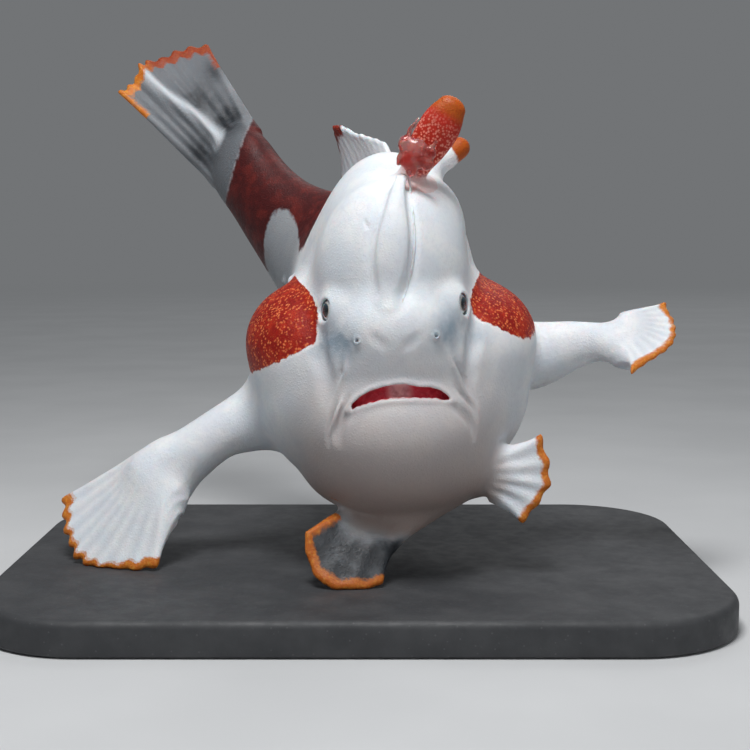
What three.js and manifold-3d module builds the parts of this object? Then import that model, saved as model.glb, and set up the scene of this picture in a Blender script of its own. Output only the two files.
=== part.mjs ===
// A young warty frogfish, life size, standing on its hand-like fins on a flat display base.
// It faces -Y, its left side is +X and up is +Z. Sizes are in millimetres, and heights are
// measured from the soles of its fins until the whole is set on the base at the end.

import * as THREE from "three";
import { mergeVertices } from "three/addons/utils/BufferGeometryUtils.js";
import Module from "manifold-3d";

const wasm = await Module();
wasm.setup();

// Driving sizes
const gap = 0.3; // left between pieces that touch
const stand = { width: 64, depth: 46, thick: 3, corner: 10, bevel: 0.5, centre: [-3, 14] };
const head = { roll: 3.5, rollHeight: 17, blend: 1.6, middle: 0.5 };
const eye = { across: 9, back: 4.9, height: 23.3, radius: 1.75, gaze: [0.88, -0.46, 0.1] };
const eyelid = { forward: 0.95, radius: 1.8, rim: 0.42 };
const nostril = { across: 6.8, height: 21.2, radius: 0.42, rim: 0.22 };
const mouth = {
  halfWidth: 4.4,
  corner: 15.3,
  depth: 3.4,
  upper: { middle: 17.1, power: 2.5 },
  lower: { middle: 16.0, power: 1.6 },
};
const finWeb = [0.3, 0.25]; // half thickness of a web at its root and its edge
const skinTolerance = 0.045; // how far the skin may move where its triangles are thinned out

// Flesh masses of the trunk: centre, half sizes, pitch in degrees with the tail up, and blend
const trunkMasses = [
  { at: [0, 13.2, 16.0], half: [12.7, 11.8, 10.8], pitch: 14, blend: 0 }, // belly
  { at: [-0.3, 15.6, 24.8], half: [7.4, 10.2, 12.4], pitch: 12, blend: 3.5 }, // back
  { at: [-6.9, 12.6, 19.8], half: [6.5, 8, 5.6], pitch: 10, blend: 1.5 }, // right cheek
  { at: [6.7, 12.6, 20.1], half: [6.5, 8, 5.5], pitch: 10, blend: 1.5 }, // left cheek
];
// Stations of the rear body and tail stalk, from the trunk to the root of the tail fin
const rearStations = [
  { at: [-0.8, 19.5, 22.6], tall: 10.6, wide: 7.6 },
  { at: [-5.6, 25.4, 26.6], tall: 6.8, wide: 4.8 },
  { at: [-10.6, 29.6, 30.6], tall: 4.3, wide: 3.1 },
  { at: [-13.8, 32.8, 34.2], tall: 3.3, wide: 2.3 },
  { at: [-16.6, 35.6, 37.8], tall: 3.5, wide: 1.4 },
];
const rearLinks = 15;
// Flesh masses of the head, which is rolled a little to its right
const headMasses = [
  { at: [0.4, 8.6, 25.4], half: [6.8, 6.6, 9.2], pitch: 18, blend: 0 }, // forehead
  { at: [0.5, 5.0, 21.2], half: [5.9, 4.9, 4.4], pitch: 0, blend: 1.5 }, // snout
  { at: [0.5, 5.6, 18.6], half: [6.8, 4.6, 3.2], pitch: 0, blend: 1.5 }, // upper jaw
  { at: [0.2, 6.2, 12.4], half: [7.6, 6.9, 6.0], pitch: -12, blend: 1.2 }, // lower jaw
  { at: [0.4, 9.4, 8.8], half: [8.6, 8.0, 4.4], pitch: 0, blend: 2.5 }, // throat
];

const degrees = Math.PI / 180;
const vec = (p) => new THREE.Vector3(...p);
const mix = (a, b, t) => a + (b - a) * t;

// Turns a point of the level head into its rolled place, with the left side up.
function rolled([x, y, z]) {
  const c = Math.cos(head.roll * degrees);
  const s = Math.sin(head.roll * degrees);
  const up = z - head.rollHeight;
  return [x * c - up * s, y, x * s + up * c + head.rollHeight];
}

function unrolled(x, y, z) {
  const c = Math.cos(head.roll * degrees);
  const s = Math.sin(head.roll * degrees);
  const up = z - head.rollHeight;
  return [x * c + up * s, y, -x * s + up * c + head.rollHeight];
}

// Axes of a stretch of body that runs along a direction: side, along, up
function axesAlong(along) {
  const l = along.clone().normalize();
  const side = new THREE.Vector3().crossVectors(l, vec([0, 0, 1])).normalize();
  return [side, l, new THREE.Vector3().crossVectors(side, l)];
}

function ellipsoid(at, half, axes) {
  const rows = axes.map((a) => a.toArray());
  return (x, y, z) => {
    const p = [x - at[0], y - at[1], z - at[2]];
    let near = 0;
    let steep = 0;
    for (let i = 0; i < 3; i++) {
      const q = (p[0] * rows[i][0] + p[1] * rows[i][1] + p[2] * rows[i][2]) / half[i];
      near += q * q;
      steep += (q / half[i]) ** 2;
    }
    near = Math.sqrt(near);
    return (near * (near - 1)) / Math.max(Math.sqrt(steep), 1e-6);
  };
}

function blended(a, b, k) {
  if (k === 0) return Math.min(a, b);
  const h = Math.max(k - Math.abs(a - b), 0) / k;
  return Math.min(a, b) - (h * h * k) / 4;
}

function massOf({ at, half, pitch }) {
  const along = vec([0, Math.cos(pitch * degrees), Math.sin(pitch * degrees)]);
  return ellipsoid(at, half, axesAlong(along));
}

const rearPath = new THREE.CatmullRomCurve3(rearStations.map((s) => vec(s.at)));
const rearGirth = new THREE.CatmullRomCurve3(rearStations.map((s) => vec([s.wide, s.tall, 0])));

function rearMasses() {
  const made = [];
  const step = rearPath.getLength() / (rearLinks - 1);
  for (let i = 0; i < rearLinks; i++) {
    const t = i / (rearLinks - 1);
    const girth = rearGirth.getPoint(t);
    const long = Math.max(step * 1.7, girth.x * 0.9);
    const axes = axesAlong(rearPath.getTangent(t));
    made.push(ellipsoid(rearPath.getPoint(t).toArray(), [girth.x, long, girth.y], axes));
  }
  return made;
}

const trunk = trunkMasses.map((m) => ({ near: massOf(m), blend: m.blend }));
const rear = rearMasses().map((near) => ({ near, blend: 2.2 }));
const face = headMasses.map((m) => ({ near: massOf(m), blend: m.blend }));
const gather = (list, x, y, z) => list.reduce((d, m) => blended(d, m.near(x, y, z), m.blend), 1e3);

// Distance from the skin of the whole body, negative inside
function bodyField(x, y, z) {
  const behind = blended(gather(trunk, x, y, z), gather(rear, x, y, z), 3.5);
  return blended(behind, gather(face, ...unrolled(x, y, z)), head.blend);
}

// How far back the level face lies at a place across and up
function faceBack(x, z) {
  let front = -6;
  let inside = 12;
  for (let i = 0; i < 26; i++) {
    const middle = (front + inside) / 2;
    if (bodyField(...rolled([x, middle, z])) > 0) front = middle;
    else inside = middle;
  }
  return front;
}

const onFace = (x, z, sink = 0) => rolled([x, faceBack(x, z) + sink, z]);

// Grid lines that lie close near a focus and wider away from it
function gridLines(low, high, focus, fine, coarse, reach) {
  const lines = [low];
  while (lines[lines.length - 1] < high) {
    const away = Math.min(Math.abs(lines[lines.length - 1] - focus) / reach, 1);
    lines.push(lines[lines.length - 1] + mix(fine, coarse, away));
  }
  return lines;
}

// Closed surface where a field crosses a level: one point in each grid cell that it passes
function surfaceOf(field, xs, ys, zs, level) {
  const [nx, ny, nz] = [xs.length, ys.length, zs.length];
  const at = (i, j, k) => (i * ny + j) * nz + k;
  const value = new Float64Array(nx * ny * nz);
  for (let i = 0; i < nx; i++)
    for (let j = 0; j < ny; j++)
      for (let k = 0; k < nz; k++) value[at(i, j, k)] = field(xs[i], ys[j], zs[k]) - level;
  const corner = (n) => [n & 1, (n >> 1) & 1, (n >> 2) & 1];
  const points = [];
  const pointOf = new Map();
  for (let i = 0; i < nx - 1; i++)
    for (let j = 0; j < ny - 1; j++)
      for (let k = 0; k < nz - 1; k++) {
        const sum = [0, 0, 0];
        let crossings = 0;
        for (let a = 0; a < 8; a++)
          for (const bit of [1, 2, 4]) {
            if (a & bit) continue;
            const [p, q] = [corner(a), corner(a | bit)];
            const va = value[at(i + p[0], j + p[1], k + p[2])];
            const vb = value[at(i + q[0], j + q[1], k + q[2])];
            if (va < 0 === vb < 0) continue;
            const t = va / (va - vb);
            sum[0] += mix(xs[i + p[0]], xs[i + q[0]], t);
            sum[1] += mix(ys[j + p[1]], ys[j + q[1]], t);
            sum[2] += mix(zs[k + p[2]], zs[k + q[2]], t);
            crossings++;
          }
        if (!crossings) continue;
        pointOf.set(at(i, j, k), points.length);
        points.push(ontoLevel(field, level, sum.map((s) => s / crossings)));
      }
  const triangles = [];
  const side = (a, b) => vec(points[a]).distanceTo(vec(points[b]));
  const quad = (a, b, c, d, flip) => {
    const ring = flip ? [a, d, c, b] : [a, b, c, d];
    if (side(ring[0], ring[2]) > side(ring[1], ring[3])) ring.push(ring.shift());
    triangles.push(ring[0], ring[1], ring[2], ring[0], ring[2], ring[3]);
  };
  const cell = (i, j, k) => pointOf.get(at(i, j, k));
  for (let i = 1; i < nx - 1; i++)
    for (let j = 1; j < ny - 1; j++)
      for (let k = 1; k < nz - 1; k++) {
        const here = value[at(i, j, k)] < 0;
        if (here !== value[at(i + 1, j, k)] < 0)
          quad(cell(i, j - 1, k - 1), cell(i, j, k - 1), cell(i, j, k), cell(i, j - 1, k), !here);
        if (here !== value[at(i, j + 1, k)] < 0)
          quad(cell(i - 1, j, k - 1), cell(i - 1, j, k), cell(i, j, k), cell(i, j, k - 1), !here);
        if (here !== value[at(i, j, k + 1)] < 0)
          quad(cell(i - 1, j - 1, k), cell(i, j - 1, k), cell(i, j, k), cell(i - 1, j, k), !here);
      }
  return closed(points.flat(), triangles);
}

function ontoLevel(field, level, p) {
  const step = 0.05;
  for (let turn = 0; turn < 2; turn++) {
    const here = field(...p) - level;
    const slope = [0, 1, 2].map((i) => {
      const q = [...p];
      q[i] += step;
      return (field(...q) - level - here) / step;
    });
    const steep = slope.reduce((s, g) => s + g * g, 1e-6);
    const move = Math.max(-0.3, Math.min(0.3, here / steep));
    p = p.map((c, i) => c - slope[i] * move);
  }
  return p;
}

// Solids from triangles, turned to face out
function closed(positions, triangles) {
  const solid = new wasm.Manifold(
    new wasm.Mesh({
      numProp: 3,
      vertProperties: new Float32Array(positions),
      triVerts: new Uint32Array(triangles),
    }),
  );
  if (solid.volume() > 0) return solid;
  const turned = [];
  for (let i = 0; i < triangles.length; i += 3)
    turned.push(triangles[i], triangles[i + 2], triangles[i + 1]);
  return closed(positions, turned);
}

function solidOf(geometry) {
  const bare = geometry.clone();
  bare.deleteAttribute("normal");
  bare.deleteAttribute("uv");
  const merged = mergeVertices(bare, 1e-4);
  return closed([...merged.attributes.position.array], [...merged.index.array]);
}

const joined = (solids) => solids.reduce((a, b) => a.add(b));

// The largest closed piece of a solid
function largest(solid) {
  return solid.decompose().reduce((a, b) => (a.volume() > b.volume() ? a : b));
}

// Closed tube through rings of points, with a point at each end
function loft(rings, first, last) {
  const sides = rings[0].length;
  const positions = [...rings.flat(), first, last].flatMap((p) => p.toArray());
  const start = rings.length * sides;
  const triangles = [];
  for (let s = 0; s < sides; s++) {
    const next = (s + 1) % sides;
    triangles.push(start, next, s);
    for (let r = 0; r < rings.length - 1; r++) {
      const [a, b] = [r * sides + s, r * sides + next];
      triangles.push(a, b, b + sides, a, b + sides, a + sides);
    }
    const end = (rings.length - 1) * sides;
    triangles.push(start + 1, end + s, end + next);
  }
  return closed(positions, triangles);
}

// Limb with oval sections through stations {at, tall, wide}; its ends are rounded.
function limb(stations, { steps, sides, up = [0, 0, 1], grow = 0 }) {
  const path = new THREE.CatmullRomCurve3(stations.map((s) => vec(s.at)));
  const girth = new THREE.CatmullRomCurve3(stations.map((s) => vec([s.wide, s.tall, 0])));
  const rings = [];
  const ring = (t, share, push) => {
    const along = path.getTangent(t);
    const across = new THREE.Vector3().crossVectors(along, vec(up)).normalize();
    const rise = new THREE.Vector3().crossVectors(across, along);
    const centre = path.getPoint(t).addScaledVector(along, push);
    const size = girth.getPoint(t);
    return Array.from({ length: sides }, (_, i) => {
      const turn = (i / sides) * 2 * Math.PI;
      return centre
        .clone()
        .addScaledVector(across, Math.cos(turn) * (size.x + grow) * share)
        .addScaledVector(rise, Math.sin(turn) * (size.y + grow) * share);
    });
  };
  const cap = (t) => Math.min(girth.getPoint(t).x, girth.getPoint(t).y) + grow;
  rings.push(ring(0, 0.75, -cap(0) * 0.6));
  for (let i = 0; i <= steps; i++) rings.push(ring(i / steps, 1, 0));
  rings.push(ring(1, 0.75, cap(1) * 0.6));
  const end = (t, sign) => path.getPoint(t).addScaledVector(path.getTangent(t), sign * cap(t));
  return loft(rings, end(0, -1), end(1, 1));
}

// Web of skin over fin rays. Each ray is a curve from root to tip, raised on both faces; the
// web between two rays is cut back from their tips, and both faces are split alike.
function finSheet(rays, { rows, ray, web = finWeb, notch = 0.1, columns = 3 }) {
  const last = rays.length - 1;
  const across = [-0.18];
  for (let c = 0; c <= last * columns; c++) across.push(c / columns);
  across.push(last + 0.18);
  const down = [];
  for (let r = 0; r <= rows; r++) down.push(r / rows);
  down.push(1.03);
  const middle = (u, v) => {
    const i = Math.min(Math.max(Math.floor(u), 0), last - 1);
    const f = Math.min(Math.max(u - i, 0), 1);
    const reach = Math.min(v, 1) * (1 - notch * Math.sin(Math.PI * f) ** 2);
    const p = rays[i].getPoint(reach).lerp(rays[i + 1].getPoint(reach), f);
    const edge = u < 0 ? u : u > last ? u - last : 0;
    const outward = rays[i + 1].getPoint(reach).sub(rays[i].getPoint(reach)).normalize();
    p.addScaledVector(outward, Math.sign(edge) * mix(ray[0], ray[1], reach) * 0.8);
    const onward = rays[i].getTangent(1).lerp(rays[i + 1].getTangent(1), f).normalize();
    return p.addScaledVector(onward, Math.max(v - 1, 0) * 12);
  };
  const half = (u, v) => {
    const f = Math.abs(u - Math.round(u));
    const reach = Math.min(v, 1);
    const bump = Math.max(0, 1 - f / 0.42) ** 0.8;
    const rim = (u < 0 || u > last ? 0.45 : 1) * (v > 1 ? 0.45 : 1);
    return rim * mix(mix(web[0], web[1], reach), mix(ray[0], ray[1], reach), bump);
  };
  const faces = [[], []];
  for (const u of across)
    for (const v of down) {
      const [u0, u1] = [Math.max(u - 0.3, 0), Math.min(u + 0.3, last)];
      const [v0, v1] = [Math.max(v - 0.08, 0), Math.min(v + 0.08, 1)];
      const alongU = middle(u1, Math.min(v, 1)).sub(middle(u0, Math.min(v, 1)));
      const alongV = middle(Math.min(Math.max(u, 0), last), v1);
      alongV.sub(middle(Math.min(Math.max(u, 0), last), v0));
      const normal = alongU.cross(alongV).normalize();
      const p = middle(u, v);
      faces[0].push(p.clone().addScaledVector(normal, half(u, v)));
      faces[1].push(p.clone().addScaledVector(normal, -half(u, v)));
    }
  const n = faces[0].length;
  const tall = down.length;
  const wide = across.length;
  const positions = [...faces[0], ...faces[1]].flatMap((p) => p.toArray());
  const triangles = [];
  for (let c = 0; c < wide - 1; c++)
    for (let r = 0; r < tall - 1; r++) {
      const [a, b] = [c * tall + r, (c + 1) * tall + r];
      triangles.push(a, b, b + 1, a, b + 1, a + 1);
      triangles.push(n + a, n + b + 1, n + b, n + a, n + a + 1, n + b + 1);
    }
  const rim = [];
  for (let c = 0; c < wide - 1; c++) rim.push(c * tall);
  for (let r = 0; r < tall - 1; r++) rim.push((wide - 1) * tall + r);
  for (let c = wide - 1; c > 0; c--) rim.push(c * tall + tall - 1);
  for (let r = tall - 1; r > 0; r--) rim.push(r);
  rim.forEach((a, i) => {
    const b = rim[(i + 1) % rim.length];
    triangles.push(a, n + a, n + b, a, n + b, b);
  });
  return closed(positions, triangles);
}

// Rays from a line of roots to an arc of tips. The arc passes through tips[1] at its middle.
function fanOfRays(count, roots, tips, sag = [0, 0, 0]) {
  const rootLine = new THREE.CatmullRomCurve3(roots.map(vec));
  const tipLine = new THREE.CatmullRomCurve3(tips.map(vec));
  return Array.from({ length: count }, (_, i) => {
    const t = i / (count - 1);
    const [root, tip] = [rootLine.getPoint(t), tipLine.getPoint(t)];
    const bend = root.clone().lerp(tip, 0.5).add(vec(sag));
    return new THREE.QuadraticBezierCurve3(root, bend, tip);
  });
}

const meshes = new THREE.Group();

function addNode(name, solid, colour, roughness = 0.6) {
  const mesh = solid.getMesh();
  const geometry = new THREE.BufferGeometry();
  geometry.setAttribute("position", new THREE.BufferAttribute(mesh.vertProperties, 3));
  geometry.setIndex(new THREE.BufferAttribute(mesh.triVerts, 1));
  geometry.computeVertexNormals();
  const material = new THREE.MeshStandardMaterial({ color: colour, roughness, metalness: 0 });
  const node = new THREE.Mesh(geometry, material);
  node.name = name;
  meshes.add(node);
}

const white = 0xe9ecf0;
const red = 0xc4301c;
const orange = 0xe8862a;
const clear = 0xd9a9a0;
const black = 0x15161a;

// Body skin, and the same skin grown by the gap, which trims whatever stands on it
const bodyX = gridLines(-24, 16, 0, 1.3, 1.7, 12);
const bodyY = gridLines(-3, 44, 0, 0.9, 1.8, 14);
const bodyZ = gridLines(2, 43, 17, 1.2, 1.8, 14);
const wholeBody = surfaceOf(bodyField, bodyX, bodyY, bodyZ, 0);
const grownBody = surfaceOf(bodyField, bodyX, bodyY, bodyZ, gap);
const offBody = (solid) => largest(solid.subtract(grownBody));

// Height of a lip line of the level head, highest in the middle
function lipHeight(x, { middle, power }) {
  return mix(mouth.corner, middle, 1 - Math.abs(x / mouth.halfWidth) ** power);
}

function lip(line, lift, thick) {
  const stations = [];
  for (let i = 0; i <= 8; i++) {
    const x = mix(-1, 1, i / 8) * mouth.halfWidth;
    const size = mix(thick * 0.6, thick, 1 - (x / mouth.halfWidth) ** 2);
    const at = onFace(head.middle + x, lipHeight(x, line) + lift, 0.15);
    stations.push({ at, tall: size, wide: size });
  }
  return limb(stations, { steps: 14, sides: 8, up: [0, -1, 0] });
}

function mouthOpening() {
  const steps = 12;
  const edge = (line, from) =>
    Array.from({ length: steps }, (_, i) => {
      const x = mix(from, -from, i / steps);
      return new THREE.Vector2(x, lipHeight(x, line));
    });
  const outline = [...edge(mouth.upper, -mouth.halfWidth), ...edge(mouth.lower, mouth.halfWidth)];
  const inFront = 4; // how far before the mouth the cut begins
  const geometry = new THREE.ExtrudeGeometry(new THREE.Shape(outline), {
    depth: mouth.depth + inFront,
    bevelEnabled: false,
  });
  // The shape is drawn across and up; its depth becomes the way back into the head.
  geometry.rotateX(Math.PI / 2);
  geometry.scale(1, -1, 1);
  geometry.translate(head.middle, -inFront, -head.rollHeight);
  geometry.rotateY(-head.roll * degrees);
  geometry.translate(0, 0, head.rollHeight);
  return solidOf(geometry);
}

function eyePlace(side) {
  return rolled([head.middle + (side * eye.across) / 2, eye.back, eye.height]);
}

function gazeOf(side) {
  return vec([side * eye.gaze[0], eye.gaze[1], eye.gaze[2]]).normalize();
}

function ball(at, radius, wide, tall) {
  const geometry = new THREE.SphereGeometry(radius, wide, tall);
  geometry.translate(...at);
  return solidOf(geometry);
}

// Raised ring, such as an eyelid, nostril or gill pore, that faces along a direction
function ringOn(at, facing, radius, tube, around) {
  const geometry = new THREE.TorusGeometry(radius, tube, 6, around);
  const turn = new THREE.Quaternion().setFromUnitVectors(vec([0, 0, 1]), facing);
  geometry.applyQuaternion(turn);
  geometry.translate(...at);
  return solidOf(geometry);
}

function bodyWithFeatures() {
  const rings = [];
  for (const side of [-1, 1]) {
    const gaze = gazeOf(side);
    const lid = vec(eyePlace(side)).addScaledVector(gaze, eyelid.forward);
    rings.push(ringOn(lid.toArray(), gaze, eyelid.radius, eyelid.rim, 16));
    const nose = onFace(head.middle + (side * nostril.across) / 2, nostril.height);
    const forward = vec([side * 0.3, -0.9, 0.3]).normalize();
    rings.push(ringOn(nose, forward, nostril.radius, nostril.rim, 8));
  }
  const lips = [lip(mouth.upper, 0.35, 0.5), lip(mouth.lower, -0.4, 0.55)];
  let solid = joined([wholeBody, ...lips, ...rings]);
  solid = solid.subtract(mouthOpening());
  for (const side of [-1, 1])
    solid = solid.subtract(ball(eyePlace(side), eye.radius + gap, 16, 10));
  return largest(solid);
}

// Thin cuts: neck, jaw and tail root, each a place on the cut and the way that it faces
const cuts = {
  neck: { at: [0, 10, 18], facing: [0, 0.966, 0.259] },
  jaw: { at: rolled([0, 0, 16.1]), facing: [-0.8 * Math.sin(head.roll * degrees), 0.6, 0.8] },
  tail: { at: [-9.2, 30.2, 29.4], facing: [-0.72, 0.58, 0.38] },
};

function keep(solid, { at, facing }, sign) {
  const normal = vec(facing).normalize().multiplyScalar(sign);
  return largest(solid.trimByPlane(normal.toArray(), normal.dot(vec(at)) + gap / 2));
}

const flesh = bodyWithFeatures().simplify(skinTolerance);
const front = keep(flesh, cuts.neck, -1);
addNode("head", keep(front, cuts.jaw, 1), white);
addNode("lower_jaw", keep(front, cuts.jaw, -1), white);
const behindNeck = keep(flesh, cuts.neck, 1);
addNode("torso", keep(behindNeck, cuts.tail, -1), white);
addNode("tail_stalk", keep(behindNeck, cuts.tail, 1), red);

for (const [side, name] of [[-1, "eye_right"], [1, "eye_left"]])
  addNode(name, ball(eyePlace(side), eye.radius, 16, 10), black, 0.15);

// Arms, from the shoulder in the flank to the wrist
const arms = {
  right: [
    { at: [-8.6, 15.4, 14.4], tall: 3.8, wide: 3.2 },
    { at: [-12.4, 14.4, 12.6], tall: 3.2, wide: 2.7 },
    { at: [-16, 13.4, 11.1], tall: 2.15, wide: 1.9 },
    { at: [-19.2, 12.8, 9.1], tall: 2.0, wide: 1.7 },
    { at: [-21.8, 12.2, 6.7], tall: 2.4, wide: 1.5 },
  ],
  left: [
    { at: [9, 15.2, 18], tall: 3.4, wide: 3 },
    { at: [13.2, 14.6, 18.5], tall: 3.2, wide: 2.6 },
    { at: [17, 14.8, 19.4], tall: 2.25, wide: 1.9 },
    { at: [19.8, 15, 19.6], tall: 1.65, wide: 1.6 },
    { at: [22, 14.8, 19.6], tall: 1.8, wide: 1.5 },
  ],
};
// Hand fans: the wrist's two edges, and the arc of the finger tips
const hands = {
  right: {
    roots: [[-21.6, 13.6, 8.1], [-21.9, 12.2, 6.5], [-21.2, 10.9, 5.4]],
    tips: [[-30.9, 14.6, 4.6], [-28.4, 9.2, 0.25], [-22, 6.4, 0.25]],
    sag: [0.4, 0, 1.2],
  },
  left: {
    roots: [[22, 15.6, 20.9], [22.3, 14.6, 19.6], [21.7, 13.8, 18.3]],
    tips: [[25.8, 17.2, 22.8], [25.8, 13, 20], [21.6, 9.8, 17.4]],
    sag: [0.7, 0.3, 0.5],
  },
};
const fingers = 10;
const limbShape = { steps: 12, sides: 14 };

for (const side of ["right", "left"]) {
  const arm = offBody(limb(arms[side], limbShape));
  const { roots, tips, sag } = hands[side];
  const rays = fanOfRays(fingers, roots, tips, sag);
  let hand = finSheet(rays, { rows: 7, ray: [1.0, 0.36], web: [0.8, 0.25], notch: 0.13 });
  const wrist = arms[side].slice(-3);
  const grown = limb(wrist, { steps: 8, sides: 14, grow: gap });
  hand = largest(hand.subtract(grown).subtract(grownBody).trimByPlane([0, 0, 1], 0));
  addNode(`arm_${side}`, arm, white);
  addNode(`hand_${side}`, hand, white);
}

// Pelvic fins, each a short stalk under the throat with five rays
const pelvics = {
  right: {
    stalk: [
      { at: [2.2, 8.8, 7.2], tall: 2.4, wide: 4.2 },
      { at: [0.4, 6.6, 4.9], tall: 1.7, wide: 3.3 },
      { at: [-1.4, 4.8, 3.4], tall: 1.1, wide: 2.6 },
    ],
    roots: [[-3.6, 5.9, 4.9], [-1.8, 5.2, 4.0], [0.4, 5.2, 3.9]],
    tips: [[-7.6, 2.2, 3.2], [-5.2, 0.6, 0.25], [-1.5, 0.9, 0.25]],
    sag: [-0.4, -0.4, 0.3],
  },
  left: {
    stalk: [
      { at: [5.6, 9, 9.4], tall: 2.6, wide: 2.2 },
      { at: [8.2, 7.6, 8.6], tall: 2.1, wide: 1.5 },
      { at: [10, 6.6, 8.2], tall: 1.7, wide: 1.0 },
    ],
    roots: [[9.4, 7, 9.8], [9.9, 6.6, 8.2], [9.2, 6.8, 6.7]],
    tips: [[12.9, 5.8, 11.8], [13.6, 5.1, 7.8], [11.3, 5.1, 4.8]],
    sag: [0.4, -0.3, 0],
  },
};
for (const side of ["right", "left"]) {
  const { stalk, roots, tips, sag } = pelvics[side];
  const rays = fanOfRays(5, roots, tips, sag);
  const fan = finSheet(rays, { rows: 6, ray: [1.0, 0.36], web: [0.75, 0.25], notch: 0.12, columns: 5 });
  const foot = fan.add(limb(stalk, { steps: 5, sides: 12 })).trimByPlane([0, 0, 1], 0);
  addNode(`pelvic_fin_${side}`, offBody(foot), white);
}

// Tail fin: nine rays from the end of the tail stalk, its lower edge turned towards the head
const tailRays = fanOfRays(
  9,
  [[-18.6, 36.5, 35.4], [-16.4, 35.5, 37.6], [-14.4, 34.5, 40.2]],
  [[-28.9, 37.5, 44.7], [-26.4, 40, 48.2], [-20.5, 43, 50.6]],
  [-0.3, -0.3, 0.3],
);
const tailSheet = finSheet(tailRays, { rows: 8, ray: [0.9, 0.36], web: [0.65, 0.25], notch: 0.1 });
addNode("tail_fin", offBody(tailSheet), white);

// Soft dorsal fin along the back, and anal fin under the tail stalk
const dorsalRays = fanOfRays(
  12,
  [[-0.2, 17.2, 35.4], [-1.6, 22, 35.0], [-4.8, 27, 32.4]],
  [[-0.6, 19, 38.2], [-3.2, 23, 39.3], [-5.6, 27, 40.6], [-4.9, 29, 38]],
  [0.4, -0.3, 0.2],
);
const dorsalSheet = finSheet(dorsalRays, {
  rows: 6,
  ray: [0.6, 0.34],
  web: [0.4, 0.25],
  notch: 0.08,
  columns: 2,
});
addNode("dorsal_fin", offBody(dorsalSheet), white);
const analRays = fanOfRays(
  7,
  [[-2.6, 25.4, 20.4], [-5.4, 28.2, 23.4], [-9, 30.6, 27.2]],
  [[-3.2, 28.2, 14.8], [-6.8, 32, 17.6], [-10, 34.2, 23]],
);
const analSheet = finSheet(analRays, {
  rows: 6,
  ray: [0.7, 0.34],
  web: [0.45, 0.25],
  notch: 0.1,
  columns: 2,
});
addNode("anal_fin", offBody(analSheet), white);

// Second dorsal spine: a fleshy ridge up the forehead, ending in a free flat club
const ridge = [
  { z: 22.4, x: -0.2, wide: 0.6, tall: 0.6 },
  { z: 24.6, x: 0.1, wide: 1.3, tall: 1 },
  { z: 27.2, x: 0.4, wide: 1.65, tall: 1.2 },
  { z: 29.6, x: 0.6, wide: 1.7, tall: 1.2 },
  { z: 32, x: 1.1, wide: 1.35, tall: 1.1 },
].map(({ z, x, wide, tall }) => ({ at: onFace(x, z, 0.1), wide, tall }));
const club = [
  { at: [0.7, 5.3, 33.8], wide: 0.95, tall: 0.9 },
  { at: [1.7, 6.6, 35.2], wide: 1.15, tall: 0.9 },
  { at: [2.9, 6.2, 37.0], wide: 1.65, tall: 0.95 },
  { at: [4.0, 5.9, 38.6], wide: 1.8, tall: 1.0 },
  { at: [4.9, 5.8, 40.0], wide: 1.5, tall: 0.9 },
];
const spineTwo = limb([...ridge, ...club], { steps: 22, sides: 10, up: [0, -1, 0] });
addNode("dorsal_spine_second", offBody(spineTwo), red);

// Third dorsal spine: a short thick spur behind the crown
const spineThree = limb(
  [
    { at: [1.2, 12.2, 32.6], wide: 1.7, tall: 1.7 },
    { at: [3, 12.6, 35.2], wide: 1.35, tall: 1.35 },
    { at: [4.8, 13.2, 37], wide: 1.15, tall: 1.15 },
    { at: [6, 13.6, 38], wide: 0.95, tall: 0.95 },
  ],
  { steps: 9, sides: 12, up: [0, -1, 0] },
);
addNode("dorsal_spine_third", offBody(spineThree), orange);

// Fishing rod that lies beside the ridge, and the lure on its end
const rodRadius = 0.28;
const rodRoute = [
  onFace(1, 21.4, 0.6),
  onFace(1.5, 22.8, -0.75),
  onFace(2.25, 25, -0.75),
  onFace(2.8, 28, -0.75),
  onFace(2.95, 30.6, -0.75),
  onFace(3, 32.6, -1.2),
  [1.9, 4.3, 34.4],
];
const rod = limb(
  rodRoute.map((at) => ({ at, wide: rodRadius, tall: rodRadius })),
  { steps: 22, sides: 8, up: [1, 0, 0] },
);
addNode("lure_rod", offBody(rod), white);

function lureSolid() {
  const centre = [1.9, 4.4, 36.5];
  const body = limb(
    [
      { at: [1.6, 4.7, 35.3], wide: 0.7, tall: 0.6 },
      { at: centre, wide: 1.1, tall: 0.8 },
      { at: [2.1, 4.3, 37.6], wide: 0.7, tall: 0.55 },
    ],
    { steps: 6, sides: 10, up: [0, -1, 0] },
  );
  const tassels = [
    [0.9, 4.3, 38.8],
    [1.7, 4.2, 39.5],
    [2.9, 3.8, 38.8],
    [0.3, 4.2, 35.6],
    [3.3, 3.6, 35.8],
  ].map((tip) => {
    const from = vec(centre).lerp(vec(tip), 0.15);
    const bend = from.clone().lerp(vec(tip), 0.6);
    const stations = [
      { at: from.toArray(), wide: 0.34, tall: 0.34 },
      { at: bend.toArray(), wide: 0.27, tall: 0.27 },
      { at: tip, wide: 0.16, tall: 0.16 },
    ];
    return limb(stations, { steps: 3, sides: 6, up: [0, -1, 0] });
  });
  return largest(joined([body, ...tassels]));
}
addNode("lure", lureSolid(), clear);

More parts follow.
